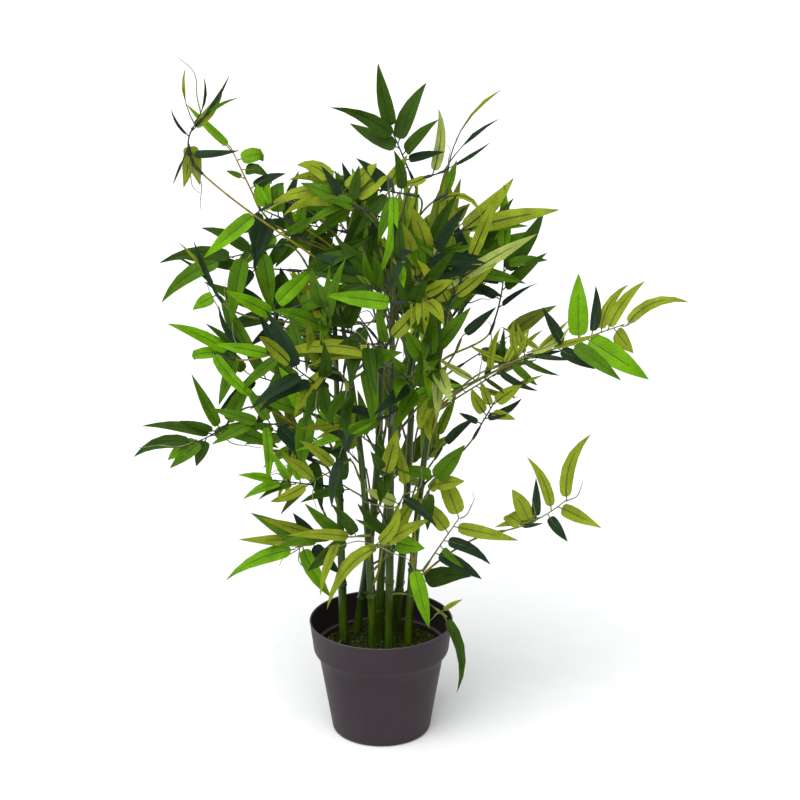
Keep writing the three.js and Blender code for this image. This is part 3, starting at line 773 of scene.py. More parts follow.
@dataclass(frozen=True)
class LeafCloth:
    """Printed woven leaf cloth.

    Its colour is mottled and speckled by the weave, with lengthwise veins, and a dark line of painted shade
    down the middle, over the rib.
    """

    name: str
    colour: Colour
    roughness: float = 0.5
    mottle: float = 0.2
    speckle: float = 0.26
    veins: float = 7.0
    # How far the line of painted shade over the rib reaches, as a share of the length, and how dark it is.
    rib_length: float = 0.64
    rib_painted_shade: float = 0.42

    def make(self) -> bpy.types.Material:
        """Builds the material.

        Returns:
            The material.
        """
        nodes = Nodes(self.name)
        cloth = nodes.ramp(nodes.noise(60.0), [
            (0.3, shade(self.colour, 1 - self.mottle)), (0.7, shade(self.colour, 1 + self.mottle))])
        weave = nodes.ramp(nodes.noise(1300.0, 2.0), [
            (0.35, grey(1 - self.speckle)), (0.65, grey(1 + self.speckle))])
        uv = nodes.node("ShaderNodeTexCoord").outputs["UV"]
        parts = nodes.node("ShaderNodeSeparateXYZ", Vector=uv).outputs
        wave = nodes.math("SINE", nodes.math("MULTIPLY", parts["X"], self.veins * TURN))
        vein = nodes.ramp(nodes.math("MULTIPLY_ADD", wave, 0.5, 0.5), [
            (0.0, grey(0.93)), (0.5, grey(1.03))])
        # Painted shade: a thin dark line down the middle of the blade, as far as the rib reaches, for the
        # shade along the rib's crease.
        off_middle = nodes.math("ABSOLUTE", nodes.math("SUBTRACT", parts["X"], 0.5))
        beyond = nodes.math("GREATER_THAN", parts["Y"], self.rib_length)
        rib = nodes.ramp(nodes.math("ADD", off_middle, beyond), [
            (0.012, grey(self.rib_painted_shade)), (0.042, grey(1.0))])
        for layer in (weave, vein, rib):
            cloth = nodes.mix("MULTIPLY", 1.0, cloth, layer)
        veined = nodes.bump(wave, 0.15 * MM, 0.5)
        woven = nodes.bump(nodes.noise(2000.0, 1.0), 0.3 * MM, 0.5, veined)
        return nodes.dress(cloth, woven, self.roughness, 0.11)


@dataclass(frozen=True)
class MouldedStem:
    """Satin moulded plastic for canes, twigs and ribs, with streaks along its length."""

    name: str
    colour: Colour
    second: Colour
    roughness: float = 0.42
    streak: float = 160.0
    relief: float = 0.25 * MM

    def make(self) -> bpy.types.Material:
        """Builds the material.

        Returns:
            The material.
        """
        nodes = Nodes(self.name)
        streaks = nodes.noise(self.streak, 4.0, (1.0, 1.0, 0.12))
        colour = nodes.ramp(streaks, [(0.36, self.colour), (0.66, self.second)])
        grain = nodes.bump(nodes.noise(900.0, stretch=(1.0, 1.0, 0.2)), self.relief, 0.5)
        gloss = nodes.uneven(self.roughness - 0.07, self.roughness + 0.12, 70.0, 2.0)
        return nodes.dress(colour, grain, gloss, 0.3)


@dataclass(frozen=True)
class PotPlastic:
    """Blown dark plastic: a fine grain, faint cloudy wear and small pale scuffs."""

    name: str
    colour: Colour
    roughness: float = 0.52

    def make(self) -> bpy.types.Material:
        """Builds the material.

        Returns:
            The material.
        """
        nodes = Nodes(self.name)
        cloud = nodes.ramp(nodes.noise(14.0, 5.0), [
            (0.35, shade(self.colour, 0.86)), (0.68, shade(self.colour, 1.14))])
        scuff = nodes.ramp(nodes.noise(150.0, 8.0, (1.0, 1.0, 4.0)), [
            (0.68, grey(0.0)), (0.80, grey(0.22))])
        worn = nodes.mix("MIX", scuff, cloud, (*shade(self.colour, 4.0), 1.0))
        grain = nodes.bump(nodes.noise(1500.0, 2.0), 0.2 * MM, 0.4)
        gloss = nodes.uneven(self.roughness - 0.08, self.roughness + 0.1, 40.0, 4.0)
        return nodes.dress(worn, grain, gloss, 0.22)


# The plain wall; the bead, lip and ledge top, lighter with a painted highlight; and the inside, darker with
# painted shade.
POT_FINISHES = (
    PotPlastic("pot_wall", (0.0275, 0.0185, 0.0235)),
    # Painted highlight: a lighter copy of the wall's plastic for the bead, the lip and the ledge top.
    PotPlastic("pot_edge_painted_highlight", (0.070, 0.056, 0.063)),
    # Painted shade: the inside is a darker copy of the wall's plastic, for the shade cast into the pot.
    PotPlastic("pot_inside_painted_shade", (0.0105, 0.0062, 0.0066), 0.7),
)


@dataclass(frozen=True)
class DullGrain:
    """Dyed moss crumbs and the cast filling: dull, rough and flecked."""

    name: str
    colour: Colour

    def make(self) -> bpy.types.Material:
        """Builds the material.

        Returns:
            The material.
        """
        nodes = Nodes(self.name)
        flecks = nodes.ramp(nodes.noise(420.0, 4.0), [
            (0.3, shade(self.colour, 0.45)), (0.55, self.colour), (0.75, shade(self.colour, 1.7))])
        return nodes.dress(flecks, nodes.bump(nodes.noise(1600.0, 4.0), 0.6 * MM, 0.8), 0.9, 0.2)


# Each tint's colour on the upper side and on the underside.
LEAF_COLOURS: dict[Tint, tuple[Colour, Colour]] = {
    Tint.BRIGHT: ((0.118, 0.285, 0.0012), (0.170, 0.280, 0.010)),
    Tint.MID: ((0.058, 0.140, 0.001), (0.130, 0.195, 0.007)),
    Tint.DARK: ((0.026, 0.066, 0.001), (0.085, 0.120, 0.006)),
    Tint.DEEP: ((0.014, 0.034, 0.012), (0.055, 0.080, 0.014)),
    Tint.OLIVE: ((0.075, 0.150, 0.001), (0.200, 0.255, 0.012)),
    Tint.PALE: ((0.090, 0.170, 0.004), (0.290, 0.360, 0.075)),
}
LEAF_CLOTHS: dict[Tint, tuple[LeafCloth, LeafCloth]] = {
    tint: (LeafCloth(f"leaf_top_{tint.value}", top), LeafCloth(f"leaf_under_{tint.value}", under, 0.66))
    for tint, (top, under) in LEAF_COLOURS.items()
}
STEM_PLASTIC: dict[Stem, MouldedStem] = {
    Stem.DEEP: MouldedStem("stem_deep", (0.008, 0.018, 0.010), (0.020, 0.036, 0.016)),
    Stem.OLIVE: MouldedStem("stem_olive", (0.050, 0.075, 0.008), (0.130, 0.160, 0.025)),
    Stem.YELLOW: MouldedStem("stem_yellow", (0.150, 0.120, 0.003), (0.240, 0.210, 0.008)),
}
TENDRIL_PLASTIC = MouldedStem("tendril", (0.110, 0.130, 0.040), (0.230, 0.250, 0.110))
CANE_PLASTIC = MouldedStem("cane_green", (0.012, 0.036, 0.001), (0.052, 0.094, 0.003), 0.3)
FILLER_CAST = DullGrain("filler_cast", (0.16, 0.15, 0.13))
MOSS_TINTS = (
    DullGrain("moss_dark", (0.016, 0.022, 0.001)),
    DullGrain("moss_green", (0.034, 0.052, 0.002)),
    DullGrain("moss_bright", (0.120, 0.160, 0.016)),
)


# ---------------------------------------------------------------- canes


@dataclass
class CaneLine:
    """One cane's centre line and taper, read from its design solid.

    x and y hold the coefficients of a cubic in the height z.
    """

    low: float
    high: float
    x: Array
    y: Array
    foot_radius: float
    head_radius: float

    @classmethod
    def from_node(cls, node: bpy.types.Object) -> "CaneLine":
        """Fits a cubic through the solid's rings.

        Args:
            node: The cane's design solid.

        Returns:
            The fitted line.
        """
        co = np.empty(len(node.data.vertices) * 3, np.float32)
        node.data.vertices.foreach_get("co", co)
        points = np.unique(co.reshape(-1, 3).astype(float).round(7), axis=0)
        z = points[:, 2]
        x, y = np.polyfit(z, points[:, 0], 3), np.polyfit(z, points[:, 1], 3)
        away = np.hypot(points[:, 0] - np.polyval(x, z), points[:, 1] - np.polyval(y, z))
        low, high = z.min(), z.max()
        near_foot, near_head = away[z < low + 10 * MM], away[z > high - 10 * MM]
        return cls(low, high, x, y, float(np.median(near_foot)), float(np.median(near_head)))

    def at(self, z: Array | float) -> Array:
        """The centre line's points at the heights z."""
        z = np.asarray(z, float)
        return np.stack([np.polyval(self.x, z), np.polyval(self.y, z), z], -1)

    def radius(self, z: Array | float) -> Array:
        """The cane's radius at the heights z, straight from foot to head."""
        share = (np.asarray(z, float) - self.low) / (self.high - self.low)
        return self.foot_radius + (self.head_radius - self.foot_radius) * share


@dataclass
class Canes:
    """The seven moulded canes, with raised node rings, cut stubs and a drawn-out tip.

    Swells, waists and ridges are shares of the radius.
    """

    lines: dict[str, CaneLine]
    node_spacing: float = 95 * MM
    first_node: float = 33 * MM
    node_step: float = 8.6 * MM
    ring_swell: float = 0.2
    ring_height: float = 1.5 * MM
    waist: float = 0.06
    broad_swell: float = 0.05
    broad_height: float = 9 * MM
    broad_ridge: float = 0.012
    fine_ridge: float = 0.008
    tip_length: float = 46 * MM
    tip_share: float = 0.24
    stub_foot: float = 1.5 * MM
    stub_head: float = 1.0 * MM
    sides: int = 24
    step: float = 1.6 * MM

    def node_heights(self, order: int, line: CaneLine) -> Array:
        """The heights of a cane's node rings."""
        first = line.low + self.first_node + self.node_step * order
        return np.arange(first, line.high - self.node_spacing / 3, self.node_spacing)

    def surface(self, order: int, line: CaneLine) -> tuple[Array, Array]:
        """A cane's centre line and radii.

        The radius is the taper, times one plus a narrow bell and a broad one at each node, less a shallow
        waist just above it. Beyond the head it draws in to a tip on the square root of what is left.

        Args:
            order: The cane's place among the seven.
            line: Its centre line.

        Returns:
            Points and radii along the cane.
        """
        z = np.arange(line.low, line.high, self.step)
        path, radius = line.at(z), line.radius(z)
        for node in self.node_heights(order, line):
            away = (z - node) / self.ring_height
            radius = radius * (1 + self.ring_swell * bell(away) - self.waist * bell(away - 2.4))
            radius = radius * (1 + self.broad_swell * bell((z - node) / self.broad_height))
        beyond = np.linspace(0, 1, 16)[1:]
        way = unit(path[-1] - path[-4])
        tip = path[-1] + way * beyond[:, None] * self.tip_length
        tip_radius = radius[-1] * (self.tip_share + (1 - self.tip_share) * np.sqrt(1 - beyond))
        return np.concatenate([path, tip]), np.concatenate([radius, tip_radius])

    def build(self, rng: np.random.Generator) -> bpy.types.Object:
        """Makes all the canes and their stubs as one mesh.

        Each cane's section is a circle with five broad and nine fine ridges: waves of its angle.

        Args:
            rng: The seeded source of unevenness.

        Returns:
            The canes' object.
        """
        shell = Shell()
        for order, line in enumerate(self.lines.values()):
            path, radii = self.surface(order, line)
            points, faces, uvs = tube(path, radii, self.sides, np.array([0.0, 1.0, 0.0]))
            rings = len(path) * self.sides
            angle = np.tile(np.arange(self.sides), len(path)) * (TURN / self.sides)
            centre = np.repeat(path, self.sides, axis=0)
            ridged = 1 + self.broad_ridge * np.sin(5 * angle + order)
            ridged += self.fine_ridge * np.sin(9 * angle + 2 * order)
            points[:rings] = centre + (points[:rings] - centre) * ridged[:, None]
            shell.add(points, faces, uvs)
            for node in self.node_heights(order, line):
                self.add_stub(shell, line, float(node), rng)
        piece = shell.build("canes", [CANE_PLASTIC.make()])
        return settle(piece, [f"cane_{name}" for name in self.lines])

    def add_stub(self, shell: Shell, line: CaneLine, node: float, rng: np.random.Generator) -> None:
        """Adds the short cut stub that stands up beside a node ring.

        Args:
            shell: The mesh to add to.
            line: The cane's centre line.
            node: The ring's height.
            rng: The seeded source of its side and length.
        """
        turn, length = rng.uniform(0, TURN), rng.uniform(4, 9) * MM
        out = np.array([math.cos(turn), math.sin(turn), 0.0])
        start = line.at(node) + out * line.radius(node) * 0.7
        way = unit(out * 0.75 + np.array([0, 0, 1.0]))
        run = np.linspace(0, 1, 6)
        radii = self.stub_foot + (self.stub_head - self.stub_foot) * run
        path = start + way * run[:, None] * (length + self.stub_foot)
        shell.add(*tube(path, radii, 8, np.cross(way, out)))


# ---------------------------------------------------------------- leaves


@dataclass(frozen=True)
class LeafShape:
    """One leaf's numbers. Lengths in metres, angles in radians."""

    length: float
    width: float
    curl: float
    sweep: float
    twist: float
    kink_at: float
    kink: float
    fold: float
    wave: float
    stalk: float


@dataclass
class LeafBatch:
    """Leaves in the making, one entry of each list for each leaf."""

    base: list[Array] = field(default_factory=list)
    along: list[Array] = field(default_factory=list)
    normal: list[Array] = field(default_factory=list)
    shape: list[LeafShape] = field(default_factory=list)
    stem: list[Stem] = field(default_factory=list)

    def frames(self) -> tuple[Array, Array, Array]:
        """The leaves' frames.

        Returns:
            Bases, directions and normals, with each normal made square to its direction.
        """
        along, normal = unit(np.array(self.along)), np.array(self.normal)
        normal = unit(normal - np.sum(normal * along, -1, keepdims=True) * along)
        return np.array(self.base), along, normal

    def numbers(self, name: str) -> Array:
        """One of the shapes' numbers for every leaf, as a column."""
        return np.array([getattr(shape, name) for shape in self.shape])[:, None]


class LeafSurface:
    """The blade's surface, worked out for a whole batch of leaves at once.

    A blade is a flat closed tube: a ring of six points at each station from foot to tip, five on its upper
    side and one under its middle, and a point at each end. ACROSS and LIFT place the ring's points, in half
    widths and in thicknesses. The half width swells quickly to a blunt foot, stays nearly full, and then
    draws in to a long point. The upper side has a crease along its middle. The quads of the two sides are
    split along matching diagonals, so that the sides never cross.
    """

    STATIONS = np.array([0.022, 0.075, 0.2, 0.39, 0.59, 0.78, 0.93])
    ACROSS = np.array([-1.0, -0.1, 0.0, 0.1, 1.0, 0.0])
    LIFT = np.array([0.0, 1.0, -0.5, 1.0, 0.0, -1.0])
    FOOT = 0.17
    FOOT_POWER = 2.7
    POINT_POWER = 2.35
    STALK_WIDTH = 0.16
    THICKNESS = 0.2 * MM
    RIB = np.array([0.0, 0.12, 0.3, 0.46, 0.62])
    RIB_RADII = np.array([0.6, 0.7, 0.66, 0.56, 0.44, 0.32, 0.1]) * MM
    RIB_DEPTH = 0.35 * MM

    def half_width(self, s: Array) -> Array:
        """The outline of a leaf of half width 1.

        Up to FOOT it is a superellipse. Beyond, it is one less the share of the way to the tip raised to
        POINT_POWER, and that to the power 1.08. A slow wave narrows it a little towards both ends.

        Args:
            s: Shares of the leaf's length.

        Returns:
            The half width at each.
        """
        foot = (1 - np.clip(1 - s / self.FOOT, 0, 1) ** self.FOOT_POWER) ** (1 / self.FOOT_POWER)
        away = np.clip((s - self.FOOT) / (1 - self.FOOT), 0, 1)
        point = (1 - away**self.POINT_POWER) ** 1.08
        return foot * point * (0.9 + 0.1 * np.sin(np.pi * np.clip(s / 0.75, 0, 1)))

    def spine(self, batch: LeafBatch, stations: Array) -> tuple[Array, Array, Array, Array]:
        """The centre lines and their frames.

        The tangent turns towards the underside by curl * s plus a sharp kink, and sideways by sweep about
        the middle, so that the leaf as a whole keeps its heading.

        Args:
            batch: The leaves.
            stations: Values of s.

        Returns:
            Points, tangents, normals and sideways directions, each leaves by stations by 3.
        """
        base, along, normal = batch.frames()
        length, curl, sweep = (batch.numbers(name) for name in ("length", "curl", "sweep"))
        kink_at, kink, twist = (batch.numbers(name) for name in ("kink_at", "kink", "twist"))
        side = np.cross(along, normal)

        def tangent_at(s: Array) -> Array:
            """The tangents.

            Args:
                s: Shares of the length.

            Returns:
                A unit vector for each leaf and each s.
            """
            down = curl * (s**1.3 - 0.4) + kink / (1 + np.exp(-(s - kink_at) * 40))
            aside = sweep * (s - 0.45)
            return unit(
                (np.cos(down) * np.cos(aside))[..., None] * along[:, None]
                + np.sin(aside)[..., None] * side[:, None]
                - (np.sin(down) * np.cos(aside))[..., None] * normal[:, None]
            )

        parts = 60
        middles = (np.arange(parts) + 0.5) / parts
        steps = tangent_at(middles[None]) * length[..., None] / parts
        line = np.concatenate([np.zeros_like(steps[:, :1]), np.cumsum(steps, 1)], 1) + base[:, None]
        pick = np.clip(stations, 0, 1) * parts
        low = np.minimum(pick.astype(int), parts - 1)
        share = (pick - low)[None, :, None]
        points = line[:, low] * (1 - share) + line[:, low + 1] * share
        tangent = tangent_at(stations[None])
        upright = normal[:, None] - np.sum(normal[:, None] * tangent, -1, keepdims=True) * tangent
        upright = unit(upright + 1e-6 * along[:, None])
        sideways = np.cross(tangent, upright)
        turn = twist * stations[None]
        out = np.cos(turn)[..., None] * upright + np.sin(turn)[..., None] * sideways
        return points, tangent, out, np.cross(tangent, out)

    def blades(self, batch: LeafBatch) -> tuple[Array, Indices, Array, Indices]:
        """The blades' vertices, faces, UVs and slots: 0 for the upper side, 1 for the underside.

        Where a leaf has a stalk, its half width is STALK_WIDTH of the outline's, and it eases out beyond.
        Fold lifts the blade's edges by a share of the half width, and wave ripples them.

        Args:
            batch: The leaves.

        Returns:
            Vertices as leaves by vertices by 3, then one leaf's faces, UVs and slots.
        """
        s, rows, ring = self.STATIONS, len(self.STATIONS), len(self.ACROSS)
        points, _, out, across = self.spine(batch, s)
        stalk = batch.numbers("stalk")
        spread = np.clip((s[None] - 0.75 * stalk) / (0.4 * stalk + 1e-3), 0, 1)
        eased = self.STALK_WIDTH + (1 - self.STALK_WIDTH) * spread**2 * (3 - 2 * spread)
        rolled = np.where(stalk > 0, eased, 1.0)
        half = (self.half_width(s)[None] * rolled * batch.numbers("width") / 2)[..., None]
        fold, wave = batch.numbers("fold")[..., None], batch.numbers("wave")[..., None]
        reach = np.abs(self.ACROSS)
        ripple = np.sin(8 * s[None, :, None] + 120 * wave + 2 * self.ACROSS)
        rise = fold * half * reach + wave * half * reach**2 * ripple + self.LIFT * self.THICKNESS
        rings = points[:, :, None] + across[:, :, None] * (half * self.ACROSS)[..., None]
        rings = rings + out[:, :, None] * rise[..., None]
        ends = self.spine(batch, np.array([0.0, 1.0]))[0]
        vertices = np.concatenate([rings.reshape(len(rings), -1, 3), ends], 1)
        under = np.arange(ring) >= ring - 2
        slots = np.tile(under.astype(np.int64), rows + 1)
        faces = closed_faces(rows, ring)
        below = np.flatnonzero(np.tile(under, rows - 1))
        faces[below] = np.roll(faces[below], -1, axis=1)
        uvs = np.stack(np.broadcast_arrays((self.ACROSS[None] + 1) / 2, s[:, None]), -1).reshape(-1, 2)
        return vertices, faces, np.concatenate([uvs, POLE_UVS]), slots

    def sharpen(self, mesh: bpy.types.Mesh) -> None:
        """Marks the blades' rims as sharp, so that each side is shaded as a flat cloth.

        Args:
            mesh: The mesh of one tint's leaves.
        """
        ring = len(self.ACROSS)
        each = len(self.STATIONS) * ring + 2
        ends = np.empty(len(mesh.edges) * 2, np.int32)
        mesh.edges.foreach_get("vertices", ends)
        place = ends.reshape(-1, 2) % each
        pole = place >= each - 2
        column = np.where(pole, -1, place % ring)
        rim = (column == 0) | (column == ring - 2)
        sharp = (rim | pole).all(1) & rim.any(1) & ((column[:, 0] == column[:, 1]) | pole.any(1))
        mesh.attributes.new("sharp_edge", "BOOLEAN", "EDGE").data.foreach_set("value", sharp)

    def ribs(self, batch: LeafBatch, petiole: float) -> tuple[Array, Array]:
        """Each leaf's petiole and raised rib, as a centre line just under the blade.

        Args:
            batch: The leaves.
            petiole: The petiole's length.

        Returns:
            Points and a reference direction for each leaf.
        """
        points, tangent, out, _ = self.spine(batch, self.RIB)
        start = points[:, :1] - tangent[:, :1] * petiole
        half = points[:, :1] - tangent[:, :1] * petiole * 0.4
        return np.concatenate([start, half, points - out * self.RIB_DEPTH], 1), out[:, 0]


# ---------------------------------------------------------------- foliage


@dataclass(frozen=True)
class LeafHabit:
    """How single leaves differ from their plans.

    A pair holds the least and the most. Angles are in degrees, and a length or a width is a factor. facing
    is the way that upper sides look, and sag is how much a level leaf droops.
    """

    heading: float = 3.0
    tilt: float = 11.0
    end_tilt: float = 5.0
    most_tilt: float = 24.0
    facing: Triple = (-0.1, -1.0, 0.45)
    facing_scatter: float = 0.24
    sag: float = 9.0
    arch: float = 9.0
    length: Pair = (0.97, 1.04)
    width: Pair = (0.95, 1.08)
    curl: float = 22.0
    curl_scatter: float = 16.0
    twist: float = 18.0
    kink_at: Pair = (0.42, 0.62)
    fold: Pair = (-0.05, 0.3)
    wave: Pair = (0.02, 0.09)
    shortest: float = 20 * MM


@dataclass(frozen=True)
class FillHabit:
    """How the sprays of a fill rule differ. Lengths are in millimetres and angles in degrees.

    A pair holds the least and the most. turn_step is the share of the arc from each spray to the next, and
    same_tint is how often a leaf keeps its spray's tint. A spray faces the back where the sine of its turn
    is more than back_from.
    """

    turn_step: float = 0.618
    turn: float = 12.0
    height: float = 8.0
    rise: Pair = (-26.0, 34.0)
    foot_climb: float = 28.0
    out: Pair = (0.6, 1.4)
    leaves: tuple[int, int] = (5, 8)
    leaf_spread: Pair = (30.0, 62.0)
    reach: Pair = (0.9, 1.12)
    slim: Pair = (0.2, 0.28)
    arch: Pair = (-30.0, 10.0)
    length: Pair = (46.0, 72.0)
    twig_drop: float = 22.0
    same_tint: float = 0.75
    back_from: float = 0.3
    tendril_length: float = 30.0
    tendril_heading: float = 60.0
    tendril_wind: float = 90.0


@dataclass
class Foliage:
    """Twigs, rachises, leaves and tendrils, grown from the canes by the plans and a seeded rule.

    Lengths are in metres.
    """

    lines: dict[str, CaneLine]
    masses: list[str]
    boughs: list[str]
    limits: tuple[Array, Array]
    rng: np.random.Generator
    petiole: float = 4.5 * MM
    rachis_radius: float = 0.85 * MM
    twig_radius: float = 1.0 * MM
    sleeve_radius: float = 1.7 * MM
    sleeve_length: float = 15 * MM
    swell_spacing: float = 24 * MM
    swell_width: float = 2.2 * MM
    swell: float = 0.28
    habit: LeafHabit = LeafHabit()
    fill_habit: FillHabit = FillHabit()
    leaves: dict[Tint, LeafBatch] = field(default_factory=lambda: {tint: LeafBatch() for tint in Tint})
    stems: dict[Stem, Shell] = field(default_factory=lambda: {stem: Shell() for stem in Stem})
    twigs: dict[Stem, Shell] = field(default_factory=lambda: {stem: Shell() for stem in Stem})
    tendrils: Shell = field(default_factory=Shell)
    surface: LeafSurface = field(default_factory=LeafSurface)

    # -- growing

    def grow(self) -> None:
        """Grows every spray: first those of the outline, then those that the fill rules give."""
        for plan in OUTLINE:
            self.grow_spray(plan)
        for fill in FILLS:
            for plan in self.fill_plans(fill):
                self.grow_spray(plan, fills=True)

    def fill_plans(self, fill: FillPlan) -> list[SprayPlan]:
        """The sprays of one fill rule.

        Each spray stands turn_step of the arc further round than the last, and a little higher. Its
        leaves leave alternate sides of the rachis, leaf_spread away from its line, and one ends it.

        Args:
            fill: The rule.

        Returns:
            The sprays' plans.
        """
        rng, habit, plans = self.rng, self.fill_habit, []
        tints, odds = list(FILL_TINTS), list(FILL_TINTS.values())
        for i in range(fill.count):
            turn = fill.turn_from + fill.turn_span * ((i * habit.turn_step) % 1.0)
            turn += rng.uniform(-habit.turn, habit.turn)
            at = fill.low + (fill.high - fill.low) * (i + 0.5) / fill.count
            at += rng.uniform(-habit.height, habit.height)
            rise = fill.rise + rng.uniform(*habit.rise)
            away = heading_vector(turn, habit.foot_climb) * fill.out * rng.uniform(*habit.out)
            foot = self.lines[fill.cane].at(at * MM) / MM + away
            count = int(rng.integers(*habit.leaves))
            sides = np.where(np.arange(count - 1) % 2 == 0, 1, -1)
            headings = (*(rise + rng.uniform(*habit.leaf_spread, count - 1) * sides), rise)
            tint = tints[rng.choice(len(tints), p=odds)]
            reach = fill.reach * rng.uniform(*habit.reach)
            blades = tuple(
                Blade(tint if rng.random() < habit.same_tint else tints[rng.choice(len(tints), p=odds)],
                      heading, reach, rng.uniform(*habit.slim), rng.uniform(*habit.arch))
                for heading in headings)
            length = rng.uniform(*habit.length)
            tendril = Tendril(
                rng.random(), rise + rng.uniform(-habit.tendril_heading, habit.tendril_heading),
                habit.tendril_length, rng.uniform(-habit.tendril_wind, habit.tendril_wind))
            plans.append(SprayPlan(
                tuple(foot), turn, rise, length, fill.cane, at - habit.twig_drop, blades,
                stem=Stem.OLIVE if tint is Tint.OLIVE else Stem.DEEP, tendrils=(tendril,),
                turned=math.sin(math.radians(turn)) > habit.back_from))
        return plans

    def grow_spray(self, plan: SprayPlan, fills: bool = False) -> None:
        """Grows one spray with its twig, sleeve, rachis, leaves and tendrils.

        Args:
            plan: The spray's plan.
            fills: True for a spray that a fill rule gave, whose leaves keep clear of the gaps.
        """
        foot = np.array(plan.foot) * MM
        count = len(plan.blades)
        steps = max(5, 2 * count + 1)
        share = np.linspace(0, 1, steps)
        lifts = plan.rise + plan.bend * (2 * share - 1)
        ways = np.array([heading_vector(plan.turn, lift) for lift in lifts])
        line = np.concatenate([[np.zeros(3)], np.cumsum((ways[1:] + ways[:-1]) / 2, 0)]) / (steps - 1)
        across = heading_vector(plan.turn + 90, 0)
        waver = np.sin(share * 5 + count) * 0.8 * MM
        rachis = foot + line * plan.length * MM + across * waver[:, None]
        self.stems[plan.stem].add(*tube(rachis, self.rachis_radius * (1.15 - 0.45 * share), 6, across))
        first = 0.3 if count > 2 else 0.1
        for i, blade in enumerate(plan.blades):
            last = i == count - 1
            along = 1.0 if last else first + (0.96 - first) * i / max(count - 1, 1)
            spot = np.array([np.interp(along, share, rachis[:, k]) for k in range(3)])
            run = heading_vector(plan.turn, blade.heading) * blade.length * MM
            if not (fills and self.in_gap(spot, run)):
                self.grow_leaf(plan, blade, spot, last)
        self.grow_twig(plan, foot, ways[0])
        for tendril in plan.tendrils:
            spot = np.array([np.interp(tendril.share, share, rachis[:, k]) for k in range(3)])
            self.grow_tendril(spot, plan.turn, tendril)

    def in_gap(self, spot: Array, run: Array) -> bool:
        """Whether a leaf would cross a gap as seen from the front.

        Five points along it are carried along lines from EYE into the pot's middle plane, and each is
        compared with each gap's middle.

        Args:
            spot: The leaf's foot.
            run: The way from its foot to its tip.

        Returns:
            True if it would.
        """
        x, y, z = ((spot + run * np.linspace(0, 1, 5)[:, None]) / MM).T
        eye_x, eye_away, eye_z = EYE
        seen_x = eye_x + (x - eye_x) * eye_away / (eye_away + y)
        seen_z = eye_z + (z - eye_z) * eye_away / (eye_away + y)
        gap_x, gap_z, radius = np.array(GAPS).T[..., None]
        return bool((np.hypot(seen_x - gap_x, seen_z - gap_z) < radius).any())

    def grow_leaf(self, plan: SprayPlan, blade: Blade, spot: Array, last: bool) -> None:
        """Adds one leaf to its tint's batch, shortened where it would pass the limits.

        Each leaf is turned, arched and curled a little by chance, as habit says.

        Args:
            plan: The spray's plan.
            blade: The leaf's plan.
            spot: The point on the rachis that it leaves from.
            last: True for the spray's end leaf.
        """
        rng, habit = self.rng, self.habit
        tilt = rng.normal(0, habit.end_tilt if last else habit.tilt)
        tilt = float(np.clip(tilt, -habit.most_tilt, habit.most_tilt))
        way = heading_vector(plan.turn, blade.heading + rng.uniform(-habit.heading, habit.heading), tilt)
        climb = heading_vector(plan.turn, blade.heading + 90)
        shows_underside = blade.tint in (Tint.OLIVE, Tint.PALE)
        front = np.array(habit.facing) * (1 if plan.turned == shows_underside else -1)
        normal = front + rng.normal(0, habit.facing_scatter, 3)
        side = np.cross(way, normal)
        sag = -habit.sag * math.hypot(way[0], way[1]) * (1 if climb[2] > 0 else -1)
        arch = blade.arch + sag + rng.normal(0, habit.arch)
        length = blade.length * MM * rng.uniform(*habit.length)
        low, high = self.limits
        base = spot + way * self.petiole
        tip = base + way * length
        while length > habit.shortest and (np.any(tip < low) or np.any(tip > high)):
            length *= 0.9
            tip = base + way * length
        batch = self.leaves[blade.tint]
        batch.base.append(base)
        batch.along.append(way)
        batch.normal.append(normal)
        batch.shape.append(LeafShape(
            length=length,
            width=blade.length * blade.slim * MM * rng.uniform(*habit.width),
            curl=math.radians(rng.normal(habit.curl, habit.curl_scatter)),
            sweep=math.radians(arch) * (1 if np.dot(side, climb) > 0 else -1),
            twist=math.radians(rng.normal(0, habit.twist)),
            kink_at=rng.uniform(*habit.kink_at),
            kink=math.radians(blade.kink),
            fold=rng.uniform(*habit.fold),
            wave=rng.uniform(*habit.wave),
            stalk=blade.stalk,
        ))
        batch.stem.append(plan.stem)

    def grow_twig(self, plan: SprayPlan, foot: Array, way: Array) -> None:
        """Adds the wire twig from the cane to a spray's foot, and the sleeve where they meet.

        The twig is a cubic that leaves the cane upwards and outwards and arrives along the rachis, with a
        slow wobble and a small bell-shaped swelling every swell_spacing.

        Args:
            plan: The spray's plan.
            foot: The spray's foot.
            way: The rachis's first direction.
        """
        start = self.lines[plan.cane].at(plan.at * MM)
        gap = float(np.linalg.norm(foot - start))
        out = unit((foot - start) * np.array([1, 1, 0.3]) + np.array([0, 0, 1e-4]))
        leave = start + (out * 0.55 + np.array([0, 0, 0.45])) * gap * 0.45
        arrive = foot - way * gap * 0.3
        steps = max(8, int(gap / (4 * MM)))
        path = bezier(start, leave, arrive, foot, steps)
        share = np.linspace(0, 1, steps)
        ref = unit(np.cross(foot - start, np.array([0.2, 0.1, 1.0])))
        wobble = np.sin(share * gap / (17 * MM) + self.rng.uniform(0, TURN)) * np.sin(math.pi * share)
        path = path + ref * (wobble * 1.1 * MM)[:, None]
        from_swell = (share * gap) % self.swell_spacing - self.swell_spacing / 2
        swell = 1 + self.swell * bell(from_swell / self.swell_width)
        self.twigs[plan.wire].add(*tube(path, self.twig_radius * (1.25 - 0.35 * share) * swell, 7, ref))
        sleeve = foot + way * (np.linspace(-0.35, 0.65, 7) * self.sleeve_length)[:, None]
        bulge = self.sleeve_radius * (0.66 + 0.34 * np.sin(np.linspace(0.25, math.pi - 0.1, 7)))
        square = unit(np.cross(way, np.array([0.31, 0.17, 0.93])))
        self.stems[plan.stem].add(*tube(sleeve, bulge, 8, square))

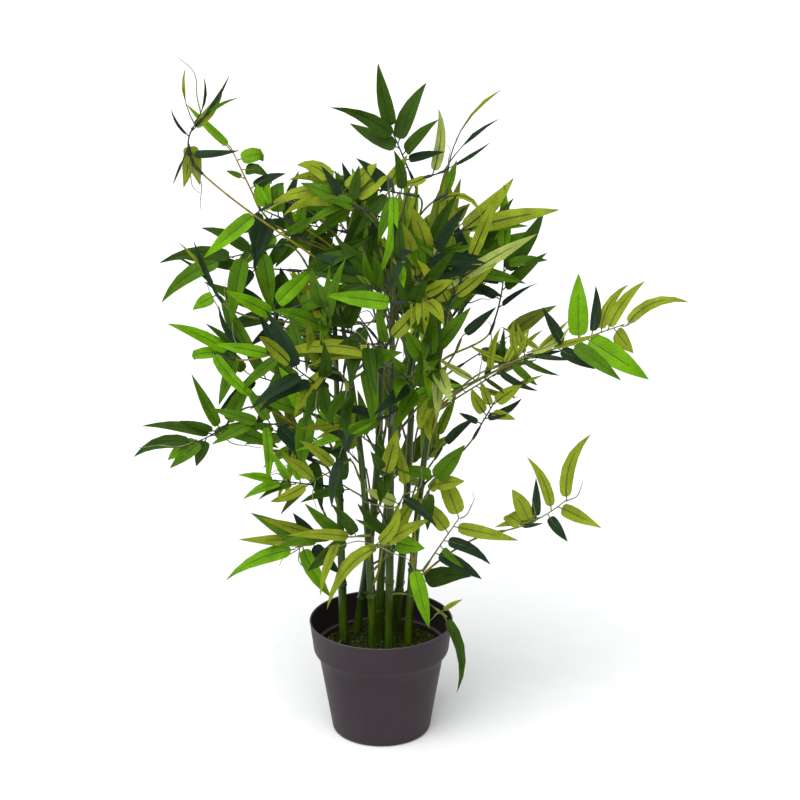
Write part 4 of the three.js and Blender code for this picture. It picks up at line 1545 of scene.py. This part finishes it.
    def grow_tendril(self, spot: Array, turn: float, tendril: Tendril) -> None:
        """Adds one tendril: its heading winds on along it, slowly at first, with a slight waver.

        Args:
            spot: Where it leaves the rachis.
            turn: The turn of the spray's plane.
            tendril: Its plan.
        """
        steps = 24
        share = np.linspace(0, 1, steps)
        waver = 14 * np.sin(share * 9 + tendril.length)
        headings = tendril.heading + tendril.wind * share**1.5 + waver
        ways = np.array([heading_vector(turn, heading) for heading in headings])
        path = spot + np.cumsum(ways, 0) * tendril.length * MM / steps
        axis = heading_vector(turn + 90, 0)
        path += axis * (share * self.rng.uniform(-8, 8) * MM)[:, None]
        path = np.clip(path, *self.limits)
        self.tendrils.add(*tube(path, (0.8 - 0.5 * share) * MM, 5, axis))

    # -- building

    def build(self) -> list[bpy.types.Object]:
        """Makes the pieces: one mesh of leaves for each tint, the stems, the twigs and the tendrils.

        Returns:
            The new objects.
        """
        pieces = [self.build_leaves(tint, batch) for tint, batch in self.leaves.items()]
        for name, shells, nodes in (("stems", self.stems, []), ("twigs", self.twigs, self.boughs)):
            for stem, shell in shells.items():
                if shell.size:
                    piece = shell.build(f"{name}_{stem.value}", [STEM_PLASTIC[stem].make()])
                    pieces.append(settle(piece, nodes))
        tendrils = self.tendrils.build("tendrils", [TENDRIL_PLASTIC.make()])
        pieces.append(settle(tendrils, []))
        return pieces

    def build_leaves(self, tint: Tint, batch: LeafBatch) -> bpy.types.Object:
        """Makes one tint's leaves, and adds their petioles and ribs to the stems.

        Args:
            tint: The cloth's tint.
            batch: Its leaves.

        Returns:
            The leaves' object.
        """
        vertices, faces, uvs, slots = self.surface.blades(batch)
        count, each = vertices.shape[:2]
        shell = Shell()
        faces = (faces[None] + np.arange(count)[:, None, None] * each).reshape(-1, 4)
        shell.add(vertices, faces, np.tile(uvs, (count, 1)), np.tile(slots, count))
        paths, refs = self.surface.ribs(batch, self.petiole)
        for path, ref, stem in zip(paths, refs, batch.stem):
            self.stems[stem].add(*tube(path, self.surface.RIB_RADII, 5, ref))
        piece = shell.build(f"leaves_{tint.value}", [cloth.make() for cloth in LEAF_CLOTHS[tint]])
        self.surface.sharpen(piece.data)
        return settle(piece, self.masses)


# ---------------------------------------------------------------- pot and moss


def beside(radius: float, height: float, *steps: tuple[float, float]) -> list[tuple[float, float]]:
    """Points of a section that stand the given millimetres out from and above one point."""
    return [(radius + out * MM, height + up * MM) for out, up in steps]


@dataclass
class Pot:
    """The blown nursery pot: a tapered body, a soft shoulder, an upright collar and a ledge inside."""

    radius: float
    height: float
    foot_radius: float = 52.5 * MM
    foot_round: float = 4 * MM
    band_foot_radius: float = 71.9 * MM
    band_height: float = 28.3 * MM
    shoulder_drop: float = 8.3 * MM
    shoulder_step: float = 5.6 * MM
    wall: float = 1.8 * MM
    floor: float = 2.4 * MM
    ledge_height: float = 94.5 * MM
    ledge_radius: float = 66.2 * MM
    segments: int = 144

    def profile(self) -> tuple[Array, Indices]:
        """The section, from the middle of the underside round the rim to the middle of the floor inside.

        Rounded stretches are quarters of an ellipse, and the others are straight.

        Returns:
            Radius and height at each point, and the slot of the ring that it begins, which is a place in
            POT_FINISHES.
        """
        band = self.height - self.band_height
        top, neck = band - self.shoulder_drop, self.band_foot_radius - self.shoulder_step
        foot_middle = self.foot_radius - self.foot_round
        foot = [(foot_middle + self.foot_round * math.sin(a), self.foot_round * (1 - math.cos(a)))
                for a in np.radians(np.linspace(0, 90, 6))]
        body = [(self.foot_radius + (neck - self.foot_radius) * s,
                 self.foot_round + (top - self.foot_round) * s) for s in np.linspace(0.1, 0.99, 8)]
        bead = beside(neck, top, (0.5, -0.2), (1.1, 0.5))
        bead_radius, bead_height = bead[-1]
        shoulder = [(bead_radius + (self.band_foot_radius - bead_radius) * math.sin(a),
                     bead_height + (band - bead_height) * (1 - math.cos(a)))
                    for a in np.radians(np.linspace(12, 90, 9))]
        collar = [(self.band_foot_radius + (self.radius - self.band_foot_radius) * s,
                   band + self.band_height * s) for s in np.linspace(0.15, 0.96, 7)]
        lip = beside(self.radius, self.height, (0, -0.6), (-0.2, -0.12), (-0.8, 0), (-1.5, -0.2))
        lip += beside(self.radius - self.wall, self.height, (0, -0.9))
        inside = [
            *beside(self.band_foot_radius - self.wall, self.ledge_height, (0.4, 1.6), (-0.6, 0.3)),
            *beside(self.ledge_radius, self.ledge_height, (0.5, 0), (0, -0.6)),
            *beside(neck - self.wall, top, (-0.4, 0)),
            *beside(self.foot_radius - self.wall, self.floor, (0, 1)),
            (0, self.floor),
        ]
        centre = [(0, 0), (foot_middle * 0.8, 0)]
        sections = (centre, foot, body, bead, shoulder, collar, lip, inside)
        # Painted highlight: the bead and the lip take the lighter edge finish where they catch the light.
        highlit_sections = [int(part is bead or part is lip) for part in sections]
        slots = np.repeat(highlit_sections, [len(part) for part in sections])
        # Painted shade: the inner wall and the floor inside take the dark inside finish.
        slots[-len(inside) - 1:] = 2
        # Painted highlight: the top of the ledge inside takes the lighter edge finish too.
        slots[-len(inside) + 1:-len(inside) + 3] = 1
        return np.concatenate(sections), slots

    def build(self) -> bpy.types.Object:
        """Turns the section about the pot's axis: (r cos a, r sin a, z).

        Returns:
            The pot's object.
        """
        section, slots = self.profile()
        angle = np.arange(self.segments) * (TURN / self.segments)
        rings, count = section[1:-1], self.segments
        points = np.stack(np.broadcast_arrays(
            rings[:, :1] * np.cos(angle), rings[:, :1] * np.sin(angle), rings[:, 1:]), -1).reshape(-1, 3)
        centre = np.array([[0, 0, section[0, 1]], [0, 0, section[-1, 1]]])
        # The fan under the pot takes the wall's finish, and the fan of the floor inside takes the painted
        # shade of the inside.
        slots = np.concatenate([np.repeat(slots[1:-2], count), np.full(count, 0), np.full(count, 2)])
        shell = Shell()
        shell.add(np.concatenate([points, centre]), closed_faces(len(rings), count), None, slots)
        piece = shell.build("nursery_pot", [finish.make() for finish in POT_FINISHES])
        return settle(piece, ["pot"])


@dataclass
class MossBed:
    """Loose crumbs of dyed moss over a lumpy bed."""

    radius: float
    top: float
    base: float
    rng: np.random.Generator
    crumbs: int = 9000
    crumb_size: float = 0.85 * MM
    largest_crumb: float = 2.6 * MM
    tint_shares: Triple = (0.55, 0.38, 0.07)
    lump_height: float = 0.7 * MM
    mound_x: float = 5 * MM
    mound_y: float = 46 * MM
    mound_spread: float = 24 * MM
    mound_height: float = 8 * MM
    bed_depth: float = 0.6 * MM
    rings: int = 40
    segments: int = 120

    def height_at(self, x: Array | float, y: Array | float) -> Array | float:
        """The bed's height: crossed waves, and a mound at the back that falls off as a bell.

        Args:
            x: Places across.
            y: Places from front to back.

        Returns:
            The height at each place.
        """
        lumps = np.sin(x * 210 + 1.3) * np.sin(y * 190 + 0.4) + 0.6 * np.sin(x * 430 + y * 380)
        away = np.hypot(x - self.mound_x, y - self.mound_y) / self.mound_spread
        return self.top - self.bed_depth + lumps * self.lump_height + self.mound_height * bell(away)

    def build(self) -> bpy.types.Object:
        """Makes the bed as a closed disc and scatters the crumbs on it.

        Returns:
            The moss's object.
        """
        shell = Shell()
        share = np.sqrt(np.linspace(0.0004, 1, self.rings))[:, None]
        angle = np.arange(self.segments) * (TURN / self.segments)
        x, y = self.radius * share * np.cos(angle), self.radius * share * np.sin(angle)
        upper = np.stack([x, y, self.height_at(x, y)], -1)
        lower = np.stack([x[-1], y[-1], np.full(self.segments, self.base)], -1)[None]
        hub = np.array([[0, 0, self.height_at(0.0, 0.0)], [0, 0, self.base]])
        rings = np.concatenate([upper, lower]).reshape(-1, 3)
        shell.add(np.concatenate([rings, hub]), closed_faces(self.rings + 1, self.segments, reverse=True))
        self.scatter(shell)
        return settle(shell.build("moss_bed", [tint.make() for tint in MOSS_TINTS]), ["moss"])

    def scatter(self, shell: Shell) -> None:
        """Scatters crumbs: uneven eight-sided lumps, each stretched and turned by its own random axes.

        The square root of an even draw spreads their places evenly over the disc.

        Args:
            shell: The mesh to add to.
        """
        rng, count = self.rng, self.crumbs
        corners = np.array([[1, 0, 0], [-1, 0, 0], [0, 1, 0], [0, -1, 0], [0, 0, 1], [0, 0, -1]], float)
        sides = np.array([
            [0, 2, 4, 4], [2, 1, 4, 4], [1, 3, 4, 4], [3, 0, 4, 4],
            [2, 0, 5, 5], [1, 2, 5, 5], [3, 1, 5, 5], [0, 3, 5, 5]])
        axes, _ = np.linalg.qr(rng.normal(size=(count, 3, 3)))
        axes[:, 2] *= np.sign(np.linalg.det(axes))[:, None]
        size = self.crumb_size * rng.lognormal(0, 0.35, (count, 1, 1))
        size = np.minimum(size * rng.uniform(0.6, 1.3, (count, 1, 3)), self.largest_crumb)
        lumps = (corners[None] * size * rng.uniform(0.75, 1.2, (count, len(corners), 1))) @ axes
        away = self.radius * 0.985 * np.sqrt(rng.random(count))
        turn = rng.random(count) * TURN
        x, y = away * np.cos(turn), away * np.sin(turn)
        centre = np.stack([x, y, self.height_at(x, y) + 0.3 * MM], -1)
        faces = sides[None] + np.arange(count)[:, None, None] * len(corners)
        slot = rng.choice(len(MOSS_TINTS), count, p=self.tint_shares)
        shell.add(lumps + centre[:, None], faces.reshape(-1, 4), None, np.repeat(slot, len(sides)))


# ---------------------------------------------------------------- studio


@dataclass
class Studio:
    """A pale floor, one broad soft key light, an even surround and the camera."""

    camera_at: Triple = (0.0199, -1.9364, 0.9998)
    camera_down: float = 18.1
    lens: float = 90.0
    backdrop: float = 0.9
    key_way: Triple = (0.26, 0.52, -0.81)
    key_strength: float = 3.45
    key_spread: float = 72.0
    surround: float = 0.46

    def build(self) -> None:
        """Sets up the floor, the light, the surroundings and the camera."""
        self.floor()
        self.key()
        self.world()
        data = bpy.data.cameras.new("camera")
        data.lens, data.sensor_width = self.lens, 36.0
        camera = bpy.data.objects.new("camera", data)
        camera.location = self.camera_at
        camera.rotation_euler = (math.radians(90 - self.camera_down), 0, 0)
        bpy.context.scene.collection.objects.link(camera)
        bpy.context.scene.camera = camera
        bpy.context.scene.view_settings.view_transform = "Standard"

    def floor(self) -> None:
        """A wide pale floor, a hair under the pot."""
        half, drop = 12.0, 0.2 * MM
        corners = np.array([[-1, -1, 0], [1, -1, 0], [1, 1, 0], [-1, 1, 0]]) * half - [0, 0, drop]
        shell = Shell()
        shell.add(corners, np.array([[0, 1, 2, 3]]))
        nodes = Nodes("floor_paper")
        paper = nodes.ramp(nodes.noise(30.0), [
            (0.3, grey(self.backdrop)), (0.7, grey(self.backdrop + 0.02))])
        shell.build("floor", [nodes.dress(paper, None, 0.9, 0.1)])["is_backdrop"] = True

    def key(self) -> None:
        """A broad, soft light from the upper left of the front."""
        data = bpy.data.lights.new("key", "SUN")
        data.energy, data.angle = self.key_strength, math.radians(self.key_spread)
        lamp = bpy.data.objects.new("key", data)
        lamp.rotation_euler = Vector(self.key_way).to_track_quat("-Z", "Y").to_euler()
        bpy.context.scene.collection.objects.link(lamp)

    def world(self) -> None:
        """White surroundings, which light the plant more dimly than they show."""
        world = bpy.data.worlds.new("studio")
        bpy.context.scene.world = world
        world.use_nodes = True
        tree = world.node_tree
        shown = tree.nodes["Background"]
        shown.inputs["Color"].default_value = (1, 1, 1, 1)
        lit = tree.nodes.new("ShaderNodeBackground")
        lit.inputs["Color"].default_value = (0.97, 0.99, 1.0, 1)
        lit.inputs["Strength"].default_value = self.surround
        rays, mix = tree.nodes.new("ShaderNodeLightPath"), tree.nodes.new("ShaderNodeMixShader")
        tree.links.new(rays.outputs["Is Camera Ray"], mix.inputs[0])
        tree.links.new(lit.outputs[0], mix.inputs[1])
        tree.links.new(shown.outputs[0], mix.inputs[2])
        tree.links.new(mix.outputs[0], tree.nodes["World Output"].inputs["Surface"])


# ---------------------------------------------------------------- main


def corner_lists() -> list[list[float]]:
    """The whole object's box as two plain lists."""
    return [[float(value) for value in corner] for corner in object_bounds()]


def main() -> None:
    """Builds every piece and reports it."""
    logging.basicConfig(level=logging.INFO, format="%(message)s")
    design = corner_lists()
    low, high = (np.array(corner) for corner in design)
    room = (high - low) * LIMIT_SHARE + LIMIT_MARGIN
    nodes = frame["nodes"]
    lines = {name.removeprefix("cane_"): CaneLine.from_node(node)
             for name, node in sorted(nodes.items()) if name.startswith("cane_")}
    masses, boughs = ([name for name in nodes if name.startswith(kind)] for kind in ("leaves_", "bough_"))
    pot_low, pot_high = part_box("pot")
    moss_low, moss_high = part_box("moss")
    moss_radius = (moss_high.x - moss_low.x) / 2
    built = [
        Pot((pot_high.x - pot_low.x) / 2, pot_high.z).build(),
        MossBed(moss_radius, moss_high.z, moss_low.z, np.random.default_rng(5)).build(),
        Canes(lines).build(np.random.default_rng(11)),
    ]
    foliage = Foliage(lines, masses, boughs, (low - room, high + room), np.random.default_rng(23))
    foliage.grow()
    built += foliage.build()
    filler = nodes["filler"]
    filler.data.materials.clear()
    filler.data.materials.append(FILLER_CAST.make())
    for piece in built:
        LOG.info("%s: %d faces", piece.name, len(piece.data.polygons))
    Studio().build()


if __name__ == "__main__":
    main()
